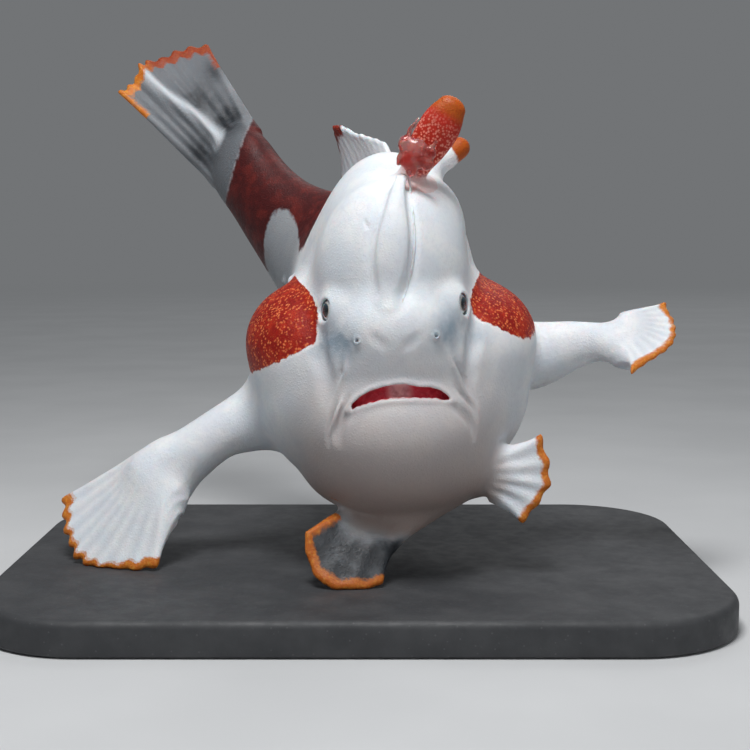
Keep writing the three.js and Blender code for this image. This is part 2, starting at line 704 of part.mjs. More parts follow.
// Display base under the fins
function standSolid() {
  const { width, depth, thick, corner, bevel } = stand;
  const [w, d] = [width / 2 - bevel, depth / 2 - bevel];
  const shape = new THREE.Shape();
  shape.moveTo(-w + corner, -d);
  shape.absarc(w - corner, -d + corner, corner, -Math.PI / 2, 0);
  shape.absarc(w - corner, d - corner, corner, 0, Math.PI / 2);
  shape.absarc(-w + corner, d - corner, corner, Math.PI / 2, Math.PI);
  shape.absarc(-w + corner, -d + corner, corner, Math.PI, Math.PI * 1.5);
  const geometry = new THREE.ExtrudeGeometry(shape, {
    depth: thick - bevel * 2,
    bevelSize: bevel,
    bevelThickness: bevel,
    bevelSegments: 1,
    curveSegments: 6,
  });
  geometry.translate(...stand.centre, -gap - thick + bevel);
  return solidOf(geometry);
}
addNode("stand_base", standSolid(), 0x2a2c30, 0.4);

// The origin is the centre of the base's underside.
meshes.position.set(-stand.centre[0], -stand.centre[1], stand.thick + gap);
const frogfish = new THREE.Group();
frogfish.add(meshes);

export default frogfish;
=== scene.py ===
import math

import bpy
import numpy as np
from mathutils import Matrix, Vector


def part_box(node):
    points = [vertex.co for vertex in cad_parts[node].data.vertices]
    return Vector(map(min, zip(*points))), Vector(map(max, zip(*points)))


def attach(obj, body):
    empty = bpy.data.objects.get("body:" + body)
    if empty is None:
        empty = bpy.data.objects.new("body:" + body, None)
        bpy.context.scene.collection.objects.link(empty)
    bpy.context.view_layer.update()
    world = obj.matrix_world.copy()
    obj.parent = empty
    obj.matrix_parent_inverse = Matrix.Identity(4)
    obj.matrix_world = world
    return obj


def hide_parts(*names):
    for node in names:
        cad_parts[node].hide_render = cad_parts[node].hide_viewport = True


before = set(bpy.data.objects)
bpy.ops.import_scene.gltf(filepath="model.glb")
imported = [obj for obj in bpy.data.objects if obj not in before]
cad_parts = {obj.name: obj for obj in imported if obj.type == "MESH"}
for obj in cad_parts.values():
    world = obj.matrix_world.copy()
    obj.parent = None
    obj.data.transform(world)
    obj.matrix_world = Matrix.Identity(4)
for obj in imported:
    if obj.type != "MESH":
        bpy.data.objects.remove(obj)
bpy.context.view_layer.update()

import openvdb
from mathutils import Vector
from mathutils.kdtree import KDTree

# The animal is worked out in millimetres, with its mouth at X 0, its face at Y 0 and its soles at Z 0.
mm = 0.001
standCentre = (-3.0, 14.0)  # where the middle of the base lies, seen from the animal
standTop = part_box("stand_base")[1].z / mm
soleGap, soleTrim = 0.3, 0.02  # space under the soles, and how much of them is cut level
animalOrigin = np.array([-standCentre[0], -standCentre[1], standTop + soleGap])
bodyGrid = {"low": (-33.0, -3.5, -1.2), "high": (30.5, 46.5, 53.5), "step": 0.15}
farAway = 5.0  # distance that a field starts from
up = np.array([0.0, 0.0, 1.0])
draws = np.random.default_rng(11)
nudge = 0.01  # share of a curve over which its direction is taken
halvings = 24  # steps of a search for the surface
faceSearch = (-6.0, 12.0)  # depths between which the face lies
flankSearch = (0.0, 20.0)  # and distances from the middle for the flanks
fieldMargins = {"oval": 4.5, "strand": 0.6, "closed": 1.5, "box": 0.3}  # how far past a shape its field reaches


def toWorld(points):
    return (np.asarray(points, float) + animalOrigin) * mm


def unit(v):
    v = np.asarray(v, float)
    return v / np.linalg.norm(v)


def unitRows(v):
    return v / np.maximum(np.linalg.norm(v, axis=-1, keepdims=True), 1e-9)


def mix(a, b, t):
    return a + (b - a) * t


def smooth(low, high, x):
    t = np.clip((x - low) / (high - low), 0, 1)
    return t * t * (3 - 2 * t)


def hump(distance, wide):  # 1 in the middle, and less farther out
    return np.exp(-((distance / wide) ** 2))


def blend(a, b, k):  # union of two fields with a fillet of size k
    if k <= 0:
        return np.minimum(a, b)
    h = np.maximum(k - np.abs(a - b), 0) / k
    return np.minimum(a, b) - h * h * k / 4


def carve(a, b, k):  # field a without b
    return -blend(-a, b, k)


# A smooth curve through points, and what else is given at them
def spline(rows, t):
    rows = np.asarray(rows, float)
    t = np.clip(np.atleast_1d(np.asarray(t, float)), 0, 1) * (len(rows) - 1)
    i = np.minimum(t.astype(int), len(rows) - 2)
    f = (t - i)[:, None]
    ends = np.vstack([2 * rows[0] - rows[1], rows, 2 * rows[-1] - rows[-2]])
    a, b, c, d = (ends[i + n] for n in range(4))
    return 0.5 * (2 * b + (c - a) * f + (2 * a - 5 * b + 4 * c - d) * f**2 + (3 * b - a - 3 * c + d) * f**3)


def route(places, count):  # even steps along such a curve
    return spline(places, np.linspace(0, 1, count))


def swell(count, power, end=0.02):  # close to 0 at both ends of a line and 1 at its middle
    return np.sin(np.pi * np.linspace(end, 1 - end, count)) ** power


def axesAlong(along):  # side, along, up
    along = unit(along)
    side = unit(np.cross(along, up))
    return np.array([side, along, np.cross(side, along)])


# Flesh of the head and body
bodyShape = {
    "headRoll": 3.5,  # degrees, left side up
    "rollHeight": 17.0,
    "headBlend": 1.6,
    "rearBlend": 3.5,
    "rearLinks": 15,
    "rearStretch": (1.7, 0.9),  # half length of a link, by its spacing and at least by its half width
    "rearLinkBlend": 2.2,
    "trunk": [
        # centre, half sizes, pitch, blend
        ((0, 13.2, 16.0), (12.7, 11.8, 10.8), 14, 0),  # belly
        ((-0.3, 15.6, 24.8), (7.4, 10.2, 12.4), 12, 3.5),  # back
        ((-6.9, 12.6, 19.8), (6.5, 8, 5.6), 10, 1.5),  # right cheek
        ((6.7, 12.6, 20.1), (6.5, 8, 5.5), 10, 1.5),  # left cheek
    ],
    "head": [
        ((0.4, 8.6, 25.4), (6.8, 6.6, 9.2), 18, 0),  # forehead
        ((3.6, 10.2, 30.0), (3.6, 4.0, 4.6), 10, 1.6),  # left half of the crown
        ((0.5, 5.0, 21.2), (5.9, 4.9, 4.4), 0, 1.5),  # snout
        ((0.5, 5.6, 18.6), (6.8, 4.6, 3.2), 0, 1.5),  # upper jaw
        ((0.2, 6.2, 12.4), (7.6, 6.9, 6.0), -12, 1.2),  # lower jaw
        ((0.4, 9.4, 8.8), (8.6, 8.0, 4.4), 0, 2.5),  # throat
    ],
    "rear": [
        # place, half height, half width
        (-0.8, 19.5, 22.6, 10.6, 7.6),
        (-5.6, 25.4, 26.6, 6.8, 4.8),
        (-10.6, 29.6, 30.6, 4.3, 3.1),
        (-13.8, 32.8, 34.2, 3.3, 2.3),
        (-16.6, 35.6, 37.8, 3.5, 1.4),
    ],
}
rollCos = math.cos(math.radians(bodyShape["headRoll"]))
rollSin = math.sin(math.radians(bodyShape["headRoll"]))
rollMatrix = np.array([[rollCos, 0, -rollSin], [0, 1, 0], [rollSin, 0, rollCos]])
rollPivot = np.array([0, 0, bodyShape["rollHeight"]])


def rolled(points):
    return (np.asarray(points, float) - rollPivot) @ rollMatrix.T + rollPivot


def level(points):
    return (np.asarray(points, float) - rollPivot) @ rollMatrix + rollPivot


def oval(centre, half, axes, k):
    return {"centre": np.asarray(centre, float), "half": half, "axes": np.asarray(axes), "blend": k}


def pitchedOval(centre, half, pitch, k, onHead=False):
    axes = axesAlong((0, math.cos(math.radians(pitch)), math.sin(math.radians(pitch))))
    if onHead:
        return oval(rolled(centre), half, axes @ rollMatrix.T, k)
    return oval(centre, half, axes, k)


def rearOvals():
    rows = np.array(bodyShape["rear"])
    t = np.linspace(0, 1, bodyShape["rearLinks"])
    here, ahead, behind = spline(rows, t), spline(rows, t + nudge), spline(rows, t - nudge)
    step = np.linalg.norm(np.diff(here[:, :3], axis=0), axis=1).sum() / (len(t) - 1)
    bySpacing, byWidth = bodyShape["rearStretch"]
    made = []
    for place, a, b in zip(here, ahead, behind):
        half = (place[4], max(step * bySpacing, place[4] * byWidth), place[3])
        made.append(oval(place[:3], half, axesAlong(a[:3] - b[:3]), bodyShape["rearLinkBlend"]))
    return made


trunkOvals = [pitchedOval(*row) for row in bodyShape["trunk"]]
headOvals = [pitchedOval(*row, onHead=True) for row in bodyShape["head"]]
tailOvals = rearOvals()


def ovalDistance(x, y, z, o):
    near = steep = 0
    for axis, size in zip(o["axes"], o["half"]):
        q = (x - o["centre"][0]) * axis[0] + (y - o["centre"][1]) * axis[1] + (z - o["centre"][2]) * axis[2]
        q = q / size
        near = near + q * q
        steep = steep + (q / size) ** 2
    near = np.sqrt(near)
    return near * (near - 1) / np.maximum(np.sqrt(steep), 1e-6)


def fleshAt(points):  # distance from the plain body at points
    x, y, z = np.asarray(points, float).T

    def gather(ovals):
        d = np.full(len(x), 1e3)
        for o in ovals:
            d = blend(d, ovalDistance(x, y, z, o), o["blend"])
        return d

    behind = blend(gather(trunkOvals), gather(tailOvals), bodyShape["rearBlend"])
    return blend(behind, gather(headOvals), bodyShape["headBlend"])


# Points on the face, given across and up on the level head
def onFace(across, height, sink=0.0):
    across, height = np.broadcast_arrays(np.asarray(across, float), np.asarray(height, float))
    front, inside = (np.full(across.shape, depth) for depth in faceSearch)
    for _ in range(halvings):
        middle = (front + inside) / 2
        places = rolled(np.stack([across, middle, height], -1).reshape(-1, 3))
        out = fleshAt(places).reshape(across.shape) > 0
        front, inside = np.where(out, middle, front), np.where(out, inside, middle)
    return rolled(np.stack([across, front + sink, height], -1))


# A place on the flank, given how far back and how high
def onFlank(side, back, height):
    inside, outside = flankSearch
    for _ in range(halvings):
        middle = (inside + outside) / 2
        if fleshAt([(side * middle, back, height)])[0] < 0:
            inside = middle
        else:
            outside = middle
    return np.array([side * inside, back, height])


# Distances on a grid, and the part of them within a box with its coordinates
def newField(grid):
    low, step = np.array(grid["low"]), grid["step"]
    shape = np.ceil((np.array(grid["high"]) - low) / step).astype(int) + 1
    return {"low": low, "step": step, "values": np.full(shape, farAway, np.float32)}


def partOf(field, low, high):
    start, step, values = field["low"], field["step"], field["values"]
    first = np.maximum(np.floor((np.asarray(low) - start) / step).astype(int), 0)
    last = np.minimum(np.ceil((np.asarray(high) - start) / step).astype(int) + 1, values.shape)
    slices = tuple(slice(a, b) for a, b in zip(first, last))
    x, y, z = [(start[i] + step * np.arange(first[i], last[i])).astype(np.float32) for i in range(3)]
    return slices, x[:, None, None], y[None, :, None], z[None, None, :]


def addOvals(field, ovals, margin=fieldMargins["oval"]):
    values = field["values"]
    for o in ovals:
        reach = np.sqrt(((o["axes"] * np.array(o["half"])[:, None]) ** 2).sum(0)) + margin
        part, x, y, z = partOf(field, o["centre"] - reach, o["centre"] + reach)
        values[part] = blend(values[part], ovalDistance(x, y, z, o).astype(np.float32), o["blend"])


# Round strands along points, such as folds and lips: added, or carved where cut is set
def addStrand(field, points, radii, k, cut=False):
    points = np.asarray(points, float)
    radii = np.broadcast_to(np.asarray(radii, float), len(points))
    margin = radii.max() + k + fieldMargins["strand"]
    strand = farAway
    part, x, y, z = partOf(field, points.min(0) - margin, points.max(0) + margin)
    for a, b, r0, r1 in zip(points[:-1], points[1:], radii[:-1], radii[1:]):
        along = b - a
        h = (x - a[0]) * along[0] + (y - a[1]) * along[1] + (z - a[2]) * along[2]
        h = np.clip(h / max(along @ along, 1e-9), 0, 1)
        d = (x - a[0] - along[0] * h) ** 2 + (y - a[1] - along[1] * h) ** 2 + (z - a[2] - along[2] * h) ** 2
        strand = np.minimum(strand, np.sqrt(d) - (r0 + (r1 - r0) * h))
    join = carve if cut else blend
    field["values"][part] = join(field["values"][part], strand.astype(np.float32), k)


# Closed meshes for limbs and fins, turned into fields
def addClosed(field, points, quads, k):
    step, reach = field["step"], k + fieldMargins["closed"]
    grid = openvdb.FloatGrid.createLevelSetFromPolygons(
        (points - field["low"]).astype(np.float32),
        quads=quads.astype(np.uint32),
        transform=openvdb.createLinearTransform(voxelSize=step),
        halfWidth=float(max(3, reach / step + 1)),
    )
    spare = reach + fieldMargins["box"]
    part, *_ = partOf(field, points.min(0) - spare, points.max(0) + spare)
    distances = np.full(tuple(s.stop - s.start for s in part), reach, np.float32)
    grid.copyToArray(distances, ijk=tuple(s.start for s in part))
    field["values"][part] = blend(field["values"][part], distances, k)


capAngles = np.radians([82, 66, 50, 34, 17])  # rings of a limb's round ends


def ringQuads(rings, around):  # faces between rings of points
    index = np.arange(rings * around).reshape(rings, around)
    beside = np.roll(index, -1, 1)
    return np.stack([index[:-1], beside[:-1], beside[1:], index[1:]], -1).reshape(-1, 4)


# Loft with oval sections through rows of place, half height and half width
def limbMesh(rows, upward=(0, 0, 1), steps=40, sides=32):
    rows = np.asarray(rows, float)
    t = np.linspace(0, 1, steps + 1)
    here = spline(rows, t)
    along = unitRows(spline(rows, t + nudge)[:, :3] - spline(rows, t - nudge)[:, :3])
    across = unitRows(np.cross(along, upward))
    rise = np.cross(across, along)
    turn = np.linspace(0, 2 * np.pi, sides, endpoint=False)

    def ring(i, push, share):
        wide = np.outer(np.cos(turn) * here[i, 4] * share, across[i])
        tall = np.outer(np.sin(turn) * here[i, 3] * share, rise[i])
        return here[i, :3] + along[i] * push + wide + tall

    # round ends: rings that shrink as they pass the first and last place
    capStart, capEnd = (min(here[i, 3], here[i, 4]) for i in (0, -1))
    rings = [ring(0, -capStart * math.sin(a), math.cos(a)) for a in capAngles]
    rings += [ring(i, 0, 1) for i in range(len(t))]
    rings += [ring(-1, capEnd * math.sin(a), math.cos(a)) for a in capAngles[::-1]]
    points = np.concatenate(rings)
    ends = np.array([points[:sides].mean(0), points[-sides:].mean(0)])
    first, last = (np.full(sides, len(points) + n) for n in (0, 1))
    near = np.arange(sides)
    nearNext = np.roll(near, -1)
    far, farNext = near + len(points) - sides, nearNext + len(points) - sides
    caps = [np.stack([first, nearNext, near, near], 1), np.stack([last, far, farNext, farNext], 1)]
    return np.vstack([points, ends]), np.concatenate([ringQuads(len(rings), sides), *caps])


finEdge = {
    "beside": (0.1, 0.2),  # points past the outer rays, in rays, and the thickness left there
    "besideThick": (0.8, 0.35),
    "besideReach": 0.9,  # how far out, by the thickness of a ray
    "beyond": (0.015, 0.03),  # points past the tips, in ray lengths, and the thickness left there
    "beyondThick": (0.75, 0.3),
    "beyondReach": 12,  # millimetres for a ray length
    "taper": 0.9,  # share of the length over which a fin thins out
}


# Web over fin rays: closed sheet, its middle, and how far across and along each place lies
def finMesh(roots, bends, tips, fin, columns=12, rows=36):
    last = len(roots) - 1
    beside, beyond = np.array(finEdge["beside"]), np.array(finEdge["beyond"])
    u = np.concatenate([-beside[::-1], np.linspace(0, last, last * columns + 1), last + beside])
    v = np.concatenate([np.linspace(0, 1, rows + 1), 1 + beyond])
    ug, vg = np.meshgrid(u, v, indexing="ij")
    i = np.clip(np.floor(ug).astype(int), 0, last - 1)
    f = np.clip(ug - i, 0, 1)
    pastRay, pastTip = ug - np.clip(ug, 0, last), np.maximum(vg - 1, 0)
    reach = np.minimum(vg, 1) * (1 - fin["notch"] * np.sin(np.pi * f) ** 2)
    taper = smooth(0, finEdge["taper"], reach)
    rayThick, webThick = mix(*fin["ray"], taper), mix(*fin["web"], taper)

    def curve(n, s):
        s = s[..., None]
        return roots[n] * (1 - s) ** 2 + bends[n] * 2 * s * (1 - s) + tips[n] * s**2

    a, b = curve(i, reach), curve(i + 1, reach)
    outward, onward = unitRows(b - a), unitRows(tips[i] - bends[i])
    aside = np.clip(pastRay / beside[-1], -1, 1) * rayThick * finEdge["besideReach"]
    middle = a + (b - a) * f[..., None] + outward * aside[..., None]
    middle = middle + onward * (pastTip * finEdge["beyondReach"])[..., None]
    normal = unitRows(np.cross(np.gradient(middle, axis=0), np.gradient(middle, axis=1)))
    if normal[..., 1].mean() > 0:
        normal = -normal
    if "fold" in fin:
        height, wide = fin["fold"][2:]
        crest = height * hump(ug - foldRay(fin, reach), wide) * smooth(-0.1, 0.2, reach)
        middle = middle + normal * crest[..., None]
    away = np.abs(ug - np.round(np.clip(ug, 0, last)))
    onRay = np.cos(np.clip(away / 0.5, 0, 1) * np.pi / 2) ** 2
    rim = np.interp(np.abs(pastRay), (0, *beside), (1, *finEdge["besideThick"]))
    rim = rim * np.interp(pastTip, (0, *beyond), (1, *finEdge["beyondThick"]))
    half = (rim * mix(webThick, rayThick, onRay))[..., None]
    sheets = [(middle + normal * half).reshape(-1, 3), (middle - normal * half).reshape(-1, 3)]
    n = ug.size
    index = np.arange(n).reshape(ug.shape)
    quads = np.stack([index[:-1, :-1], index[1:, :-1], index[1:, 1:], index[:-1, 1:]], -1).reshape(-1, 4)
    border = np.concatenate([index[:-1, 0], index[-1, :-1], index[:0:-1, -1], index[0, :0:-1]])
    following = np.roll(border, -1)
    rimQuads = np.stack([border, border + n, following + n, following], -1)
    quads = np.concatenate([quads[:, ::-1], quads + n, rimQuads])
    return np.concatenate(sheets), quads, middle.reshape(-1, 3), np.clip(ug, 0, last).ravel(), vg.ravel()


def foldRay(fin, along):  # which ray the fold of a fin lies on
    start, end = fin["fold"][:2]
    return mix(start, end, along) + 0.3 * np.sin(6.0 * along)


def fan(count, roots, tips, sag=(0, 0, 0)):
    t = np.linspace(0, 1, count)
    root, tip = spline(roots, t), spline(tips, t)
    return root, (root + tip) / 2 + np.asarray(sag), tip


# Limbs: rows of place, half height and half width
limbs = {
    "arm_right": {
        "rows": [
            (-8.6, 15.4, 14.4, 3.8, 3.2),
            (-12.4, 14.4, 12.6, 3.2, 2.7),
            (-16, 13.4, 11.1, 2.4, 2.1),
            (-19.2, 12.8, 8.8, 2.55, 2.0),
            (-21.3, 12.2, 6.7, 2.75, 1.4),
        ],
        "blend": 2.2,
    },
    "arm_left": {
        "rows": [
            (9, 16.8, 18.0, 3.4, 2.8),
            (13.2, 16.2, 18.2, 3.25, 2.4),
            (17, 15.4, 19.2, 2.3, 1.9),
            (19.8, 15, 19.6, 1.75, 1.6),
            (21.9, 14.8, 19.6, 1.8, 1.2),
        ],
        "blend": 1.1,
    },
    "pelvic_stalk_right": {
        "rows": [
            (2.2, 8.8, 7.2, 2.4, 4.2),
            (0.4, 6.6, 4.9, 1.7, 3.3),
            (-1.4, 4.8, 3.4, 1.1, 2.6),
        ],
        "blend": 1.6,
    },
    "pelvic_stalk_left": {
        "rows": [
            (5.6, 9, 9.4, 2.6, 2.2),
            (8.2, 7.6, 8.6, 2.1, 1.5),
            (10, 6.6, 8.2, 1.7, 1.0),
        ],
        "blend": 1.4,
    },
    "dorsal_spine_third": {
        "rows": [
            (1.2, 12.2, 32.6, 1.7, 1.7),
            (3, 12.6, 35.2, 1.3, 1.3),
            (4.9, 13.2, 36.6, 1.15, 1.15),
            (6.1, 13.6, 37.4, 1.0, 1.0),
        ],
        "upward": (0, -1, 0),
        "blend": 1.4,
    },
}

# Fins: places along the root and the tips, how far the rays bow, and half thicknesses at root and tip
rayUneven = {"spread": 0.03, "least": 0.94, "most": 1.02}  # length of each ray
fins = {
    "hand_right": {
        "rays": 10,
        "roots": [(-21.6, 13.6, 8.1), (-21.9, 12.2, 6.5), (-20.6, 10.9, 4.9)],
        "tips": [(-30.9, 14.6, 4.6), (-28.4, 9.2, 0.0), (-21.2, 6.6, 0.0)],
        "sag": (0.4, 0, 1.2),
        "ray": (1.6, 0.36),
        "web": (1.58, 0.29),
        "notch": 0.035,
        "blend": 3.4,
    },
    "hand_left": {
        "rays": 10,
        "roots": [(22, 15.6, 20.9), (22.3, 14.6, 19.6), (21.7, 13.8, 18.3)],
        "tips": [(25.8, 17.2, 22.8), (25.8, 13, 20), (21.6, 9.8, 17.4)],
        "sag": (0.7, 0.3, 0.5),
        "ray": (1.25, 0.35),
        "web": (1.22, 0.28),
        "notch": 0.035,
        "blend": 2.6,
    },
    "pelvic_fin_right": {
        "rays": 5,
        "roots": [(-3.6, 5.9, 4.9), (-1.8, 5.2, 4.0), (0.4, 5.2, 3.9)],
        "tips": [(-7.4, 2.6, 4.0), (-6.9, 1.4, 1.3), (-4.3, 0.5, 0.0), (-1.2, 1.0, 0.0)],
        "sag": (-0.4, -0.5, 0.3),
        "ray": (0.85, 0.33),
        "web": (0.8, 0.28),
        "notch": -0.05,
        "blend": 1.0,
    },
    "pelvic_fin_left": {
        "rays": 5,
        "roots": [(9.4, 7, 9.8), (9.9, 6.6, 8.2), (9.2, 6.8, 6.7)],
        "tips": [(12.9, 5.8, 11.8), (13.6, 5.1, 7.8), (11.3, 5.1, 4.8)],
        "sag": (0.4, -0.3, 0),
        "ray": (0.95, 0.38),
        "web": (0.75, 0.25),
        "notch": 0.07,
        "blend": 1.0,
    },
    "tail_fin": {
        "rays": 9,
        "roots": [(-18.6, 36.5, 35.4), (-16.4, 35.5, 37.6), (-14.4, 34.5, 40.2)],
        "tips": [(-28.9, 37.5, 44.7), (-26.4, 40, 48.2), (-20.5, 43, 50.6)],
        "sag": (-0.3, -0.3, 0.3),
        "ray": (0.75, 0.3),
        "web": (0.62, 0.2),
        "notch": 0.03,
        "fold": (4.2, 2.9, 0.8, 0.7),
        "blend": 1.0,
    },
    "dorsal_fin": {
        "rays": 12,
        "roots": [(-0.2, 17.2, 35.4), (-1.6, 22, 35.0), (-4.8, 27, 32.4)],
        "tips": [(-0.6, 19, 38.2), (-3.2, 23, 39.3), (-5.6, 27, 40.6), (-4.9, 29, 38)],
        "sag": (0.4, -0.3, 0.2),
        "ray": (0.42, 0.26),
        "web": (0.38, 0.22),
        "notch": 0.03,
        "blend": 0.9,
    },
    "anal_fin": {
        "rays": 7,
        "roots": [(-2.6, 25.4, 20.4), (-5.4, 28.2, 23.4), (-9, 30.6, 27.2)],
        "tips": [(-3.2, 28.2, 14.8), (-6.8, 32, 17.6), (-10, 34.2, 23)],
        "sag": (0, 0, 0),
        "ray": (0.6, 0.3),
        "web": (0.42, 0.2),
        "notch": 0.04,
        "blend": 0.9,
    },
}

# Second dorsal spine: a soft ridge up the forehead, and the free club behind its top
forehead = {
    "ridge": [
        # height and across on the level head, half width, half thickness
        (23.5, 0.1, 0.8, 0.3),
        (24.4, 0.05, 1.15, 0.62),
        (25.7, 0.25, 1.5, 0.95),
        (27.4, 0.42, 1.68, 1.05),
        (29.0, 0.62, 1.66, 1.1),
        (30.4, 0.85, 1.5, 1.05),
        (32.0, 1.15, 1.15, 1.0),
    ],
    "ridgeTop": (0.62, 4.9, 34.0, 0.75, 0.72),
    "ridgeSink": 0.25,
    "ridgeBlend": 0.6,
    "club": [
        (1.3, 7.6, 34.2, 1.0, 1.15),
        (2.1, 6.7, 35.6, 0.95, 1.25),
        (2.9, 6.2, 37.0, 0.98, 1.65),
        (3.9, 5.9, 38.6, 1.02, 1.78),
        (4.5, 5.8, 39.6, 0.98, 1.6),
        (4.95, 5.76, 40.3, 0.92, 1.3),
    ],
    "clubBlend": 0.9,
}

eyeShape = {
    "middle": 0.48,
    "across": 9.0,
    "back": 4.9,
    "height": 23.25,
    "radius": 1.75,
    "gaze": (0.88, -0.46, 0.08),
    "skin": 0.16,  # thickness of the skin over the ball
    "moundBlend": 1.1,
    "opening": (0.9, 1.35),  # half width at the ball and in front of it
    "openingDepth": (0.9, 3.4),  # how far forward those two lie
    "openingBlend": 0.15,
    "lid": (1.0, 1.48, 0.14),  # half width, how far forward, half thickness
    "lidBlend": 0.22,
    "gap": 0.02,  # room round the ball
    "gapBlend": 0.08,
}
noseShape = {
    "middle": 0.46,
    "across": 6.58,
    "height": 20.95,
    "facing": (0.3, -0.9, 0.3),
    "bore": (0.3, -0.9, 0.3),
    "steps": 12,
    "radius": 0.27,
    "rim": 0.09,
    "rimLift": 0.08,
    "rimBlend": 0.25,
    "hole": 0.13,
    "holeDepth": (0.5, -0.4),
    "holeBlend": 0.08,
}
poreShape = {  # gill pore behind the arm
    "back": 20.5,
    "height": 13.5,
    "facing": (1, 0.3, -0.2),
    "bore": (1, 0, 0),
    "steps": 16,
    "radius": 0.75,
    "rim": 0.3,
    "rimLift": 0,
    "rimBlend": 0.6,
    "hole": 0.4,
    "holeDepth": (0.6, -0.8),
    "holeBlend": 0.3,
}
mouthShape = {
    # places along the lips, across and up on the level head
    "upper": [
        (-3.95, 15.10), (-3.58, 15.64), (-2.88, 16.21), (-2.01, 16.66), (-0.91, 16.96), (0.10, 17.10),
        (0.94, 17.08), (1.51, 16.93), (2.01, 16.78), (3.02, 16.66), (3.85, 16.34), (4.41, 15.88), (4.89, 15.28),
    ],
    "lower": [
        (-3.95, 15.04), (-3.26, 15.30), (-2.41, 15.56), (-1.56, 15.76), (-0.39, 15.92), (0.86, 15.90),
        (2.11, 15.80), (3.36, 15.66), (4.20, 15.43), (4.89, 15.24),
    ],
    "depth": 0.7,
    "edgeBlend": 0.1,
    "corner": 0.3,  # closed part at each end
    "upperLip": (0.12, 0.12),  # lift above the edge, half thickness
    "lowerLip": (-0.15, 0.15),
    "lipBlend": 0.45,
    "lipFade": 0.6,
    "lipEnd": (0.3, 0.1),  # how far in the ends lie, and their share of the thickness
    "teeth": 0.1,
    "teethPerMm": (9, 2.3),  # waves of the teeth and of their unevenness
    "teethFade": 4,
}

# Grooves: half width, depth, softness, places across and up on the level head
grooveEnds = {"steps": 18, "fade": 0.9, "lift": 0.7}
grooves = [
    (0.4, 0.2, 0.5, [
        (0.97, 34.2), (0.38, 33.6), (-0.05, 32.3), (-0.45, 31.2), (-0.95, 29.8), (-1.23, 28.8),
        (-1.40, 27.4), (-1.40, 26.0), (-1.22, 24.9),
    ]),
    (0.4, 0.27, 0.5, [
        (2.35, 34.0), (2.31, 32.8), (2.34, 31.5), (2.42, 30.2), (2.38, 29.0), (2.26, 27.7), (2.02, 26.5),
        (1.61, 25.3), (1.12, 24.2), (0.81, 23.4),
    ]),
    (0.12, 0.17, 0.1, [(-1.72, 31.1), (-1.43, 30.4), (-1.10, 29.5)]),
    (0.26, 0.38, 0.25, [(-3.70, 16.6), (-4.26, 15.7), (-4.74, 14.8), (-5.14, 13.8), (-5.47, 12.6)]),
    (0.26, 0.38, 0.25, [(-4.56, 16.5), (-5.05, 15.3), (-5.46, 14.2), (-5.80, 13.0), (-6.04, 12.1)]),
    (0.22, 0.22, 0.3, [(-3.58, 19.8), (-3.98, 18.8), (-4.39, 17.9), (-4.69, 17.1)]),
    (0.26, 0.36, 0.25, [(5.11, 19.0), (5.59, 18.0), (6.07, 17.0), (6.63, 15.9), (7.18, 14.8)]),
    (0.26, 0.38, 0.25, [(5.18, 16.8), (5.65, 16.0), (6.13, 15.3), (6.61, 14.5), (7.10, 13.6)]),
    (0.4, 0.02, 0.5, [(-1.95, 21.6), (-1.49, 21.1), (-0.94, 20.6), (-0.47, 20.1)]),
    (0.4, 0.02, 0.5, [(2.75, 21.3), (2.06, 20.8), (1.53, 20.4), (1.26, 19.9)]),
    (0.7, 0.62, 0.9, [
        (-6.5, 22.0), (-6.49, 20.7), (-6.27, 19.8), (-6.05, 19.0), (-5.93, 18.0), (-6.08, 17.0), (-6.39, 16.2),
    ]),
    (0.6, 0.5, 0.8, [
        (7.5, 22.6), (7.43, 21.6), (7.24, 20.6), (7.05, 19.7), (6.88, 18.7), (6.82, 17.6), (6.67, 16.5),
    ]),
    (0.4, 0.38, 0.55, [(-3.96, 15.0), (-4.51, 14.4), (-4.99, 13.4), (-5.33, 12.4)]),
    (0.4, 0.38, 0.55, [(4.97, 15.2), (5.69, 14.3), (6.42, 13.2), (6.88, 12.1)]),
    (0.16, 0.16, 0.2, [(7.45, 28.9), (7.72, 27.5), (7.98, 26.2)]),
]
# Thin raised folds: half thickness and places
foldEnds = {"steps": 24, "fade": 0.8, "sink": 3.6, "thin": 0.3, "blend": 0.26}
folds = [
    (0.19, [(-3.94, 16.8), (-4.42, 16.0), (-4.90, 15.0), (-5.30, 13.9), (-5.64, 12.8)]),
    (0.17, [
        (-3.26, 20.8), (-3.66, 19.9), (-3.89, 19.0), (-4.12, 18.1), (-4.52, 17.1), (-4.92, 16.1), (-5.41, 15.1),
    ]),
    (0.19, [
        (4.34, 20.7), (4.63, 19.7), (5.00, 18.6), (5.39, 17.5), (5.85, 16.3), (6.39, 15.2), (6.95, 14.1),
    ]),
]


def eyePlace(side):
    return rolled((eyeShape["middle"] + side * eyeShape["across"] / 2, eyeShape["back"], eyeShape["height"]))


def gazeOf(side):
    x, y, z = eyeShape["gaze"]
    return unit((side * x, y, z))


def ringPoints(centre, facing, radius, count=28):
    side = unit(np.cross(facing, up))
    rise = np.cross(side, facing)
    turn = np.linspace(0, 2 * np.pi, count + 1)[:, None]
    return np.asarray(centre) + radius * (np.cos(turn) * side + np.sin(turn) * rise)


def nosePlace(side):
    return onFace(noseShape["middle"] + side * noseShape["across"] / 2, noseShape["height"])


# Low warts, thin on the ground as on a young fish
warts = {
    "count": 34,
    "back": (17.5, 29.0),
    "height": (9.5, 27.5),
    "size": (0.28, 0.5),
    "sink": 0.35,  # share of a wart's size
    "blend": 0.5,
}


